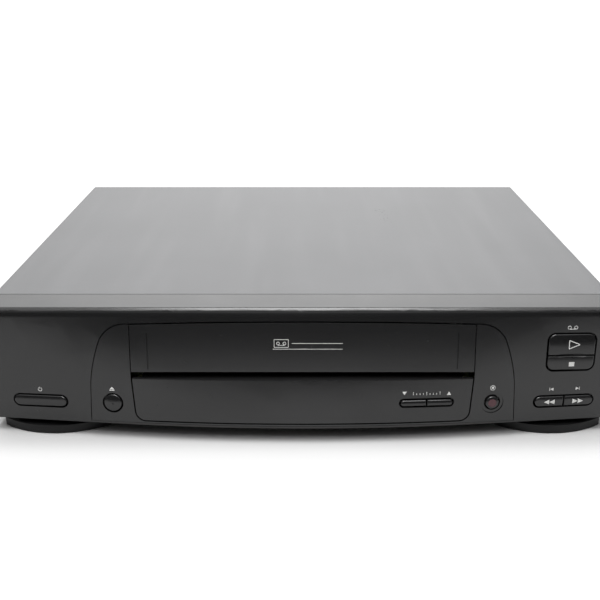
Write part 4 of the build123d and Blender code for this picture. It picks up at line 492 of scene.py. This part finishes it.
# ================================================================ small repeated fittings
class Pattern:
    """A node group that sets a small part on every point, built with named sizes."""

    def __init__(self, name, sizes, material, aim=UPWARDS, seed=0):
        self.name = name
        self.sizes = sizes
        self.material = material
        self.aim = aim
        self.seed = seed
        self.tree = bpy.data.node_groups.new(name, "GeometryNodeTree")
        face = self.tree.interface
        face.new_socket("Points", in_out="INPUT", socket_type="NodeSocketGeometry")
        self.sockets = {label: face.new_socket(label, in_out="INPUT",
                                               socket_type="NodeSocketFloat").identifier
                        for label in sizes}
        face.new_socket("Fittings", in_out="OUTPUT", socket_type="NodeSocketGeometry")
        self.given = self.tree.nodes.new("NodeGroupInput")
        self.parts = []

    def node(self, kind, settings=None, inputs=None, output=0):
        """Any node of the tree, with numbers or links on its sockets. Returns one output."""
        return new_node(self.tree, kind, settings or {}, inputs or {}).outputs[output]

    def size(self, label, times=1.0):
        """A named size, or a multiple of it."""
        given = self.given.outputs[label]
        if times == 1.0:
            return given
        return self.node("ShaderNodeMath", {"operation": "MULTIPLY"}, {0: given, 1: times})

    def vector(self, x=0.0, y=0.0, z=0.0):
        return self.node("ShaderNodeCombineXYZ", {}, {0: x, 1: y, 2: z})

    def add(self, shape, move=None, turn=UPWARDS, material=None):
        """Adds one solid to the part, moved, turned and finished."""
        inputs = {"Geometry": shape, "Rotation": turn}
        if move is not None:
            inputs["Translation"] = move
        placed = self.node("GeometryNodeTransform", {}, inputs)
        painted = {"Geometry": placed, "Material": material or self.material}
        self.parts.append(self.node("GeometryNodeSetMaterial", {}, painted))

    def cylinder(self, radius, depth, sides):
        inputs = {"Vertices": sides, "Radius": radius, "Depth": depth}
        return self.node("GeometryNodeMeshCylinder", {}, inputs)

    def cone(self, bottom, top, depth, sides):
        inputs = {"Vertices": sides, "Radius Bottom": bottom, "Radius Top": top, "Depth": depth}
        return self.node("GeometryNodeMeshCone", {}, inputs)

    def block(self, x, y, z):
        return self.node("GeometryNodeMeshCube", {}, {"Size": self.vector(x, y, z)})

    def circle(self, radius, sides):
        inputs = {"Resolution": sides, "Radius": radius}
        return self.node("GeometryNodeCurvePrimitiveCircle", {}, inputs)

    def tube_ring(self, radius, wire):
        """A closed ring of wire."""
        inputs = {"Curve": self.circle(radius, 24), "Profile Curve": self.circle(wire, 8)}
        return self.node("GeometryNodeCurveToMesh", {}, inputs)

    def spread(self, places, body, slot, spin=0.0):
        """Sets the part on every place, turned about itself by up to spin, as one piece."""
        joined = self.tree.nodes.new("GeometryNodeJoinGeometry")
        for part in self.parts:
            self.tree.links.new(part, joined.inputs[0])
        repeated = self.node("GeometryNodeInstanceOnPoints", {},
                             {"Points": self.given.outputs["Points"],
                              "Instance": joined.outputs[0], "Rotation": self.aim})
        turns = self.node("FunctionNodeRandomValue", {"data_type": "FLOAT_VECTOR"},
                          {0: (0.0, 0.0, 0.0), 1: (0.0, 0.0, spin), "Seed": self.seed})
        spun = self.node("GeometryNodeRotateInstances", {},
                         {"Instances": repeated, "Rotation": turns, "Local Space": True})
        real = self.node("GeometryNodeRealizeInstances", {}, {"Geometry": spun})
        flat = self.node("GeometryNodeSetShadeSmooth", {}, {"Geometry": real,
                                                            "Shade Smooth": False})
        output = self.tree.nodes.new("NodeGroupOutput")
        self.tree.links.new(flat, output.inputs[0])

        points = bpy.data.meshes.new(self.name + "_points")
        points.from_pydata(places, [], [])
        holder = in_scene(self.name + "_points", points)
        pattern = holder.modifiers.new("pattern", "NODES")
        pattern.node_group = self.tree
        for label, value in self.sizes.items():
            pattern[self.sockets[label]] = value
        made = holder.evaluated_get(bpy.context.evaluated_depsgraph_get())
        mesh = bpy.data.meshes.new_from_object(made)
        holder.modifiers.remove(pattern)
        bpy.data.objects.remove(holder)
        mesh.name = self.name
        linked(self.name, mesh, body)


def surface_of(*names):
    """The surfaces of some pieces together, for rays to meet."""
    corners, faces = [], []
    for name in names:
        mesh = NODES[name].data
        first = len(corners)
        corners += [vertex.co.copy() for vertex in mesh.vertices]
        faces += [tuple(first + corner for corner in face.vertices) for face in mesh.polygons]
    return BVHTree.FromPolygons(corners, faces)


# ---------------------------------------------------------------- chips and resistors
# middle and size of each chip, in millimetres from the corner of the main board
CHIPS = ((21, 26, 34, 12), (41, 58, 14, 36), (16, 96, 20, 20), (51, 116, 26, 10))
LEG_PITCH = 2.54
LEG_STANDS_OFF = 0.5
LEG_WIDTH = 0.7 * MM
LEG_HEIGHT = 1.6 * MM

RESISTOR_RADIUS = 0.9 * MM
RESISTOR_LENGTH = 5.0 * MM
RESISTOR_RAISED = 1.5           # height of its middle over the board, as a share of its radius
LEAD_RADIUS = 0.3               # also as a share of its radius
LEAD_SPAN = 1.4                 # from foot to foot, as a share of its length
LEAD_LENGTH = 1.44              # a little over the span, so that the bends meet
FOOT_HEIGHT = 1.7               # a little over the raised height, for the same reason
RESISTOR_PITCH = (9.0 * MM, 3.2 * MM)
RESISTOR_ROOM = 4.0 * MM        # bare board all round the middle of a resistor
RESISTOR_SHARE = 0.4            # of the open places that hold one
RESISTOR_LEAN = 0.05            # the most that one is turned, in radians
STEPS_ROUND = 8                 # directions in which the board round a place is felt
LEVEL = 0.02 * MM
ON_BOARD = 0.05 * MM


def leg_places():
    """Two rows of legs along the long sides of every chip."""
    low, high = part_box("main_board")
    places = []
    for x, y, width, depth in CHIPS:
        long, short = max(width, depth), min(width, depth)
        count = int(long / LEG_PITCH)
        for step in range(count):
            along = (step + 0.5 - count / 2) * LEG_PITCH
            for side in (-1, 1):
                out = side * (short / 2 + LEG_STANDS_OFF)
                dx, dy = (along, out) if width >= depth else (out, along)
                places.append((low.x + (x + dx) * MM, low.y + (y + dy) * MM, high.z))
    return places


def chip_legs():
    """Square legs, each in a small dome of solder."""
    leg = Pattern("chip_legs", {"Width": LEG_WIDTH, "Height": LEG_HEIGHT}, TINNED)
    wide, tall = leg.size("Width"), leg.size("Height")
    leg.add(leg.block(wide, wide, tall), leg.vector(z=leg.size("Height", 0.5)))
    dome = leg.cone(leg.size("Width", 0.9), leg.size("Width", 0.35), leg.size("Width", 0.5), 8)
    leg.add(dome, leg.vector(z=leg.size("Width", 0.25)))
    leg.spread(leg_places(), "case", "board")


def drop(surface, x, y):
    """The height at which something that falls from the top of the machine lands."""
    hit = surface.ray_cast(Vector((x, y, TOP)), Vector((0, 0, -1)))[0]
    return hit.z if hit else 0.0


def open_places(board, around, pitch, room):
    """A grid of places on a board that nothing stands on or over."""
    low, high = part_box(board)
    surface = surface_of(board, *around)
    turns = [2 * math.pi * step / STEPS_ROUND for step in range(1, STEPS_ROUND + 1)]
    places = []
    y = low.y + pitch[1]
    while y < high.y - room:
        x = low.x + pitch[0]
        while x < high.x - room:
            middle = drop(surface, x, y)
            rim = [drop(surface, x + room * math.cos(a), y + room * math.sin(a)) for a in turns]
            spread = max(middle, *rim) - min(middle, *rim)
            if spread < LEVEL and abs(middle - high.z) < ON_BOARD:
                places.append((x, y, high.z))
            x += pitch[0]
        y += pitch[1]
    return places


def resistors(board, around, seed):
    """Lacquered resistors on bent leads, on some of the open places of a board."""
    draw = random.Random(seed)
    places = [place for place in open_places(board, around, RESISTOR_PITCH, RESISTOR_ROOM)
              if draw.random() < RESISTOR_SHARE]
    part = Pattern(board + "_resistors",
                   {"Body radius": RESISTOR_RADIUS, "Body length": RESISTOR_LENGTH},
                   RESISTOR, seed=seed)
    lying = (0.0, math.pi / 2, 0.0)
    wire = part.size("Body radius", LEAD_RADIUS)
    raised = part.vector(z=part.size("Body radius", RESISTOR_RAISED))
    body = part.cylinder(part.size("Body radius"), part.size("Body length"), 12)
    part.add(body, raised, lying)
    lead = part.cylinder(wire, part.size("Body length", LEAD_LENGTH), 6)
    part.add(lead, raised, lying, TINNED)
    foot = part.cylinder(wire, part.size("Body radius", FOOT_HEIGHT), 6)
    for side in (-1, 1):
        middle = part.vector(x=part.size("Body length", LEAD_SPAN / 2 * side),
                             z=part.size("Body radius", FOOT_HEIGHT / 2))
        part.add(foot, middle, material=TINNED)
    part.spread(places, "case", "parts_plastic", RESISTOR_LEAN)


def board_fittings():
    """Chip legs and resistors on the two boards."""
    chip_legs()
    resistors("main_board", ("board_parts", "aerial_module", "av_block"), seed=4)
    resistors("supply_board", ("supply_parts", "transformer", "mains_inlet"), seed=5)


# ---------------------------------------------------------------- screws and jack rings
DECK_SCREW = 2.6 * MM           # head radius
SMALL_SCREW = 2.2 * MM
HEAD_HEIGHT = 0.55              # of a screw, as a share of its head radius
DOME_RADIUS = 0.7
# the cross on a head is a thin dark block, painted shade standing in for a recess
CROSS_SHADE_WIDTH = 0.22
CROSS_SHADE_HEIGHT = 0.12              # share of the head height
SCREW_SEED = 1
BOARD_INSET = 3 * MM
DECK_SIDE_INSET = 9.6 * MM
DECK_BACK_INSETS = (6 * MM, 60 * MM)
# the screws of the back: right of the middle and above the table
BACK_SCREWS = ((78.0 * MM, 42.0 * MM), (129.5 * MM, 50.0 * MM), (172.5 * MM, 22.0 * MM))

JACK_RADIUS = 4.1 * MM
JACK_RING_RADIUS = 4.9 * MM
JACK_RING_WIRE = 0.7 * MM
JACK_RING_OUT = 0.4 * MM        # behind the back panel


def screws(name, places, radius, aim=UPWARDS):
    """Pan-head screws with a thin dark block in a cross on the head, painted shade for a cross
    recess.
    """
    sizes = {"Head radius": radius, "Head height": radius * HEAD_HEIGHT}
    pattern = Pattern(name, sizes, ZINC, aim, SCREW_SEED)
    wide, tall = pattern.size("Head radius"), pattern.size("Head height")
    rim = pattern.size("Head height", 0.5)
    head = pattern.cylinder(wide, rim, 20)
    pattern.add(head, pattern.vector(z=pattern.size("Head height", 0.25)))
    dome = pattern.cone(wide, pattern.size("Head radius", DOME_RADIUS), rim, 20)
    pattern.add(dome, pattern.vector(z=rim))
    thin = pattern.size("Head radius", CROSS_SHADE_WIDTH)
    for across in ((wide, thin), (thin, wide)):
        # each arm of the cross is a thin dark block on top of the head: painted shade, not a hollow
        cross_shade = pattern.block(*across, pattern.size("Head height", CROSS_SHADE_HEIGHT))
        pattern.add(cross_shade, pattern.vector(z=tall), material=BLACKENED_STEEL_AND_CROSS_SHADE)
    pattern.spread(places, "case", "zinc_steel", math.pi)


def deck_fittings():
    """Screws of the deck, the boards and the back."""
    low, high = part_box("deck_plate")
    screws("deck_screws",
           [(x, high.y - inset, high.z)
            for x in (low.x + DECK_SIDE_INSET, high.x - DECK_SIDE_INSET)
            for inset in DECK_BACK_INSETS], DECK_SCREW)
    for board in ("main_board", "supply_board"):
        low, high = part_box(board)
        screws(board + "_screws",
               [(x, y, high.z)
                for x in (low.x + BOARD_INSET, high.x - BOARD_INSET)
                for y in (low.y + BOARD_INSET, high.y - BOARD_INSET)], SMALL_SCREW)
    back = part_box("rear_panel")[1].y
    screws("back_screws", [(x, back, z) for x, z in BACK_SCREWS], SMALL_SCREW, BACKWARDS)


def jack_rings():
    """Coloured insulators round the phono jacks."""
    low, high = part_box("av_jacks")
    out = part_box("rear_panel")[1].y + JACK_RING_OUT
    for name, column, material in (("video_rings", low.x + JACK_RADIUS, VIDEO_RING),
                                   ("sound_rings", high.x - JACK_RADIUS, SOUND_RING)):
        places = [(column, out, z) for z in (low.z + JACK_RADIUS, high.z - JACK_RADIUS)]
        sizes = {"Radius": JACK_RING_RADIUS, "Wire": JACK_RING_WIRE}
        insulator = Pattern(name, sizes, material, BACKWARDS)
        insulator.add(insulator.tube_ring(insulator.size("Radius"), insulator.size("Wire")))
        insulator.spread(places, "case", "jack_plastic")


# ================================================================ outlines of printed marks
# Outlines are lists of (x, z) corners in metres. The sizes of a mark are in millimetres.
def face_place(x, below):
    """A place on the front view: millimetres from the middle, and below the top of the machine."""
    return x * MM, TOP - below * MM


def moved(centre, x=0.0, z=0.0):
    """A place so many millimetres from another one."""
    return centre[0] + x * MM, centre[1] + z * MM


def polygon(centre, points):
    return [moved(centre, x, z) for x, z in points]


def rectangle(centre, width, height):
    across, up = width / 2, height / 2
    return polygon(centre, [(-across, -up), (across, -up), (across, up), (-across, up)])


def triangle(centre, length, height):
    """A triangle that points along +X, or along -X where length is negative."""
    return polygon(centre, [(-length / 2, -height / 2), (length / 2, 0), (-length / 2, height / 2)])


def upright_triangle(centre, width, height):
    """A triangle that points up, or down where height is negative."""
    return polygon(centre, [(-width / 2, -height / 2), (width / 2, -height / 2), (0, height / 2)])


def disc(centre, radius, steps=24):
    turns = [2 * math.pi * step / steps for step in range(steps)]
    return polygon(centre, [(radius * math.cos(a), radius * math.sin(a)) for a in turns])


def ring(centre, radius, width, start=0.0, end=360.0, steps=28):
    """A ring or an open arc, as short blocks side by side."""
    outlines = []
    for step in range(steps):
        first, last = (math.radians(start + (end - start) * (step + offset) / steps)
                       for offset in (0, 1))
        corners = ((radius - width / 2, first), (radius - width / 2, last),
                   (radius + width / 2, last), (radius + width / 2, first))
        outlines.append(polygon(centre, [(r * math.cos(a), r * math.sin(a)) for r, a in corners]))
    return outlines


def stroke(start, end, width):
    """A straight line between two places."""
    across, up = end[0] - start[0], end[1] - start[1]
    share = width * MM / 2 / math.hypot(across, up)
    nx, nz = -up * share, across * share
    return [(start[0] + nx, start[1] + nz), (start[0] - nx, start[1] - nz),
            (end[0] - nx, end[1] - nz), (end[0] + nx, end[1] + nz)]


def outlined(corners, width):
    """A closed line through some places."""
    return [stroke(place, after, width) for place, after in zip(corners, corners[1:] + corners[:1])]


def reels(centre, radius, tape, below, apart=1.9):
    """Two reels with the tape between them."""
    marks = []
    for side in (-1, 1):
        marks += ring(moved(centre, side * apart), radius, 0.3)
    return marks + [rectangle(moved(centre, z=-below), 2 * apart, tape)]


# ---------------------------------------------------------------- the marks
# places on the front view, as for face_place
POWER_MARK = (-158.5, 50.7)
EJECT_MARK = (-114.1, 48.4)
RECORD_MARK = (113.9, 47.8)
RECORD_DOT = (114.0, 57.2)
REELS_MARK = (159.4, 11.5)
REWIND_SKIP = (149.8, 50.4)
FORWARD_SKIP = (166.5, 50.4)
CHANNEL_DOWN = (60.7, 49.8)
CHANNEL_UP = (87.4, 50.3)
CHANNEL_TICKS = (66.0, 50.9)
TAPE_MARK = (-12.6, 20.2)
UPPER_RULE = (8.7, 20.2)
LOWER_RULE = (3.1, 23.6)
PLAY_SYMBOL = (161.2, 21.8)
STOP_SYMBOL = (160.5, 34.2)
REWIND_SYMBOL = (149.3, 58.5)
FORWARD_SYMBOL = (166.9, 58.5)


def power_mark():
    centre = face_place(*POWER_MARK)
    return ring(centre, 1.15, 0.32, 120, 420) + [rectangle(moved(centre, z=0.9), 0.32, 1.5)]


def eject_mark():
    centre = face_place(*EJECT_MARK)
    return [upright_triangle(moved(centre, z=0.45), 3.0, 1.7),
            rectangle(moved(centre, z=-1.0), 3.0, 0.5)]


def record_mark():
    centre = face_place(*RECORD_MARK)
    return [disc(centre, 0.75)] + ring(centre, 1.45, 0.28)


def skip_mark(place, side):
    """A small arrow that runs against a bar."""
    centre = face_place(*place)
    return [triangle(moved(centre, -0.5 * side), 1.9 * side, 2.0),
            rectangle(moved(centre, 0.8 * side), 0.35, 2.0)]


def channel_marks():
    """A down mark, an up mark, and a row of ticks between them."""
    marks = [upright_triangle(face_place(*CHANNEL_DOWN), 2.6, -2.1),
             upright_triangle(face_place(*CHANNEL_UP), 2.6, 2.1)]
    foot = face_place(*CHANNEL_TICKS)
    for step in range(9):
        tall = 1.8 if step % 4 == 0 else 1.0
        marks.append(rectangle(moved(foot, 2.0 * step, tall / 2), 0.3, tall))
    return marks


def tape_mark():
    """A tape pictogram and two fine rules, on the middle of the flap."""
    centre = face_place(*TAPE_MARK)
    marks = outlined(rectangle(centre, 8.4, 4.6), 0.3)
    marks += reels(centre, 0.85, 0.25, 1.1)
    return marks + [rectangle(face_place(*LOWER_RULE), 41.4, 0.28),
                    rectangle(face_place(*UPPER_RULE), 30.2, 0.28)]


def play_symbol():
    return outlined(triangle(face_place(*PLAY_SYMBOL), 6.4, 5.2), 0.46)


def wind_symbol(place, side):
    """Two arrows, one behind the other."""
    centre = face_place(*place)
    return [triangle(moved(centre, x), 3.2 * side, 3.1) for x in (-1.65, 1.65)]


# ---------------------------------------------------------------- printing
INK_DEPTH = 0.07 * MM
INK_STEP = 1.5 * MM             # the longest edge of a print, so that it follows a bowed face


def long_edges(sheet):
    return [edge for edge in sheet.edges if edge.calc_length() > INK_STEP]


def laid_on(name, outlines, node, body, material):
    """A thin print on the front of a piece."""
    surface = surface_of(node)
    sheet = bmesh.new()
    for outline in outlines:
        sheet.faces.new([sheet.verts.new((x, 0.0, z)) for x, z in outline])
    bmesh.ops.triangulate(sheet, faces=sheet.faces[:])
    while long_edges(sheet):
        bmesh.ops.subdivide_edges(sheet, edges=long_edges(sheet), cuts=1)
        bmesh.ops.triangulate(sheet, faces=sheet.faces[:])
    for vertex in sheet.verts:
        ahead = Vector((vertex.co.x, -1.0, vertex.co.z))
        vertex.co.y = surface.ray_cast(ahead, Vector((0, 1, 0)))[0].y
    grown = bmesh.ops.extrude_face_region(sheet, geom=sheet.faces[:])["geom"]
    for piece in grown:
        if isinstance(piece, bmesh.types.BMVert):
            piece.co.y -= INK_DEPTH
    bmesh.ops.recalc_face_normals(sheet, faces=sheet.faces[:])
    mesh = bpy.data.meshes.new(name)
    sheet.to_mesh(mesh)
    sheet.free()
    mesh.materials.append(material)
    linked(name, mesh, body)


def print_marks():
    """Every printed mark, on the piece that carries it."""
    rows = [
        ("power_mark", power_mark(), "front_bezel", "case", INK),
        ("eject_mark", eject_mark(), "centre_panel", "case", INK),
        ("record_mark", record_mark(), "centre_panel", "case", INK),
        ("play_mark", reels(face_place(*REELS_MARK), 0.95, 0.3, 1.0), "front_bezel", "case", INK),
        ("rewind_mark", skip_mark(REWIND_SKIP, -1), "front_bezel", "case", INK),
        ("forward_mark", skip_mark(FORWARD_SKIP, 1), "front_bezel", "case", INK),
        ("channel_marks", channel_marks(), "lower_panel", "case", INK),
        ("tape_mark", tape_mark(), "cassette_flap", "flap", INK),
        ("play_symbol", play_symbol(), "play_button", "play_key", INK),
        ("stop_symbol", [rectangle(face_place(*STOP_SYMBOL), 3.2, 2.8)],
         "stop_button", "stop_key", INK),
        ("rewind_symbol", wind_symbol(REWIND_SYMBOL, -1), "rewind_button", "rewind_key", INK),
        ("forward_symbol", wind_symbol(FORWARD_SYMBOL, 1), "forward_button", "forward_key", INK),
        ("record_dot", [disc(face_place(*RECORD_DOT), 2.5)],
         "record_button", "record_key", RECORD_INK),
    ]
    for name, outlines, node, body, material in rows:
        laid_on(name, outlines, node, body, material)


# ================================================================ studio
WHITE = (1.0, 1.0, 1.0, 1.0)
ROOM_DARK = 0.03
WALL_LIGHT = 1.3
CEILING_LIGHT = 1.5
SIDE_LIGHT = 0.12

FLOOR_HALF = 14.0
FLOOR_GLOW = 1.15
FLOOR_LIT = 0.55                # grey of the floor that lights the machine
FLOOR_SHOWN = 0.50              # grey of the floor that the camera sees near the machine
FLOOR_DIM = 0.05                # grey of the floor far ahead, as the face reflects it
DIM_AHEAD = (0.36, 0.75)        # from so far to so far ahead of the middle, the floor gets dim
# how far ahead and aside of the middle the floor starts to glow, and glows in full
NEAR_GLOW = ((0.152, 0.170), (0.195, 0.225))
FAR_GLOW = ((0.16, 0.23), (0.20, 0.30))
NEAR_SHARE = 0.3


def world_light():
    """A bright wall behind, a soft ceiling and a dark room in front, white where it is seen."""
    world = bpy.data.worlds.new("studio")
    world.use_nodes = True
    studio = Finish(world)
    # x, y and z are the direction in which the light lies, from -1 to 1
    x, y, z = studio.axes("Generated")
    upright = z.over(0.66, 0.50) * (1.0 + z.over(0.05, 0.4))
    middle = 1.0 - x.distance().over(0.12, 0.45) * 0.38
    wall = y.over(0.35, 0.85) * upright * middle
    overhead = z.over(0.45, 0.95)
    aside = x.distance().over(0.5, 0.95) * z.over(-0.1, 0.3)
    strength = ROOM_DARK + wall * WALL_LIGHT + overhead * CEILING_LIGHT + aside * SIDE_LIGHT
    seen = studio.node("LightPath", output="Is Camera Ray")
    mixed = strength * (1 - seen) + seen
    light = studio.node("Background", {}, {"Color": WHITE, "Strength": mixed})
    studio.node("OutputWorld", {}, {"Surface": light})
    bpy.context.scene.world = world


def floor():
    """A wide white sheet that keeps the shadow, and glows a short way off the machine."""
    finish = Finish("floor_sheet")
    x, y = finish.axes()[:2]

    def grey(level):
        return finish.node("BsdfDiffuse", {}, {"Color": (level, level, level, 1.0)})

    def clear_of(ahead, aside):
        return y.distance().over(*ahead).maths("MAXIMUM", x.distance().over(*aside))

    def mixed(share, first, second):
        return finish.node("MixShader", {}, {0: share, 1: first, 2: second})

    near, far = clear_of(*NEAR_GLOW), clear_of(*FAR_GLOW)
    share = near * NEAR_SHARE + far * (1 - NEAR_SHARE)
    glow = finish.node("Emission", {}, {"Color": WHITE, "Strength": FLOOR_GLOW})
    plain = mixed((0 - y).over(*DIM_AHEAD), grey(FLOOR_LIT), grey(FLOOR_DIM))
    glowing = mixed(share, grey(FLOOR_SHOWN), glow)
    seen = finish.node("LightPath", output="Is Camera Ray")
    finish.node("OutputMaterial", {}, {"Surface": mixed(seen, plain, glowing)})

    half = FLOOR_HALF
    mesh = bpy.data.meshes.new("floor_sheet")
    mesh.from_pydata([(-half, -half, 0), (half, -half, 0), (half, half, 0), (-half, half, 0)], [],
                     [(0, 1, 2, 3)])
    mesh.materials.append(finish.material)
    sheet = in_scene("floor_sheet", mesh)


def softbox(name, place, aim, width, height, power):
    lamp = bpy.data.lights.new(name, "AREA")
    lamp.shape = "RECTANGLE"
    lamp.size, lamp.size_y = width, height
    lamp.energy = power
    holder = in_scene(name, lamp)
    holder.location = place
    holder.rotation_euler = (Vector(aim) - Vector(place)).to_track_quat("-Z", "Y").to_euler()


def lights():
    """One large lamp over the machine, and a weak one over the camera."""
    softbox("overhead", place=(0.0, 0.0, 1.5), aim=(0.0, 0.0, 0.0),
            width=0.7, height=1.35, power=30.0)
    softbox("front_fill", place=(0.0, -1.3, 1.9), aim=(0.0, -0.2, 0.0),
            width=1.4, height=0.5, power=7.0)


CAMERA_PITCH = math.radians(22.22)
CAMERA_AHEAD = 440 * MM         # in front of the top edge of the face
CAMERA_OVER = 185.2 * MM        # above the top of the machine
BEZEL_TOP = 27.7 * MM           # from the top edge of the face to the back of the bezel
FOCAL_PIXELS = 815.0
FRAME_PIXELS = 600.0
SENSOR = 36.0
SHIFT = -0.0043


def camera():
    """The photograph's view."""
    lens = bpy.data.cameras.new("camera")
    lens.sensor_width = SENSOR
    lens.lens = FOCAL_PIXELS / FRAME_PIXELS * SENSOR
    lens.shift_x = SHIFT
    lens.clip_end = 100.0
    face_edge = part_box("front_bezel")[1].y - BEZEL_TOP
    holder = in_scene("camera", lens)
    holder.location = (0.0, face_edge - CAMERA_AHEAD, TOP + CAMERA_OVER)
    holder.rotation_euler = (math.pi / 2 - CAMERA_PITCH, 0.0, 0.0)
    bpy.context.scene.camera = holder


finish_nodes()
print_marks()
ease_mouldings()
board_fittings()
deck_fittings()
jack_rings()
floor()
lights()
world_light()
camera()
bpy.context.scene.view_settings.view_transform = "Standard"
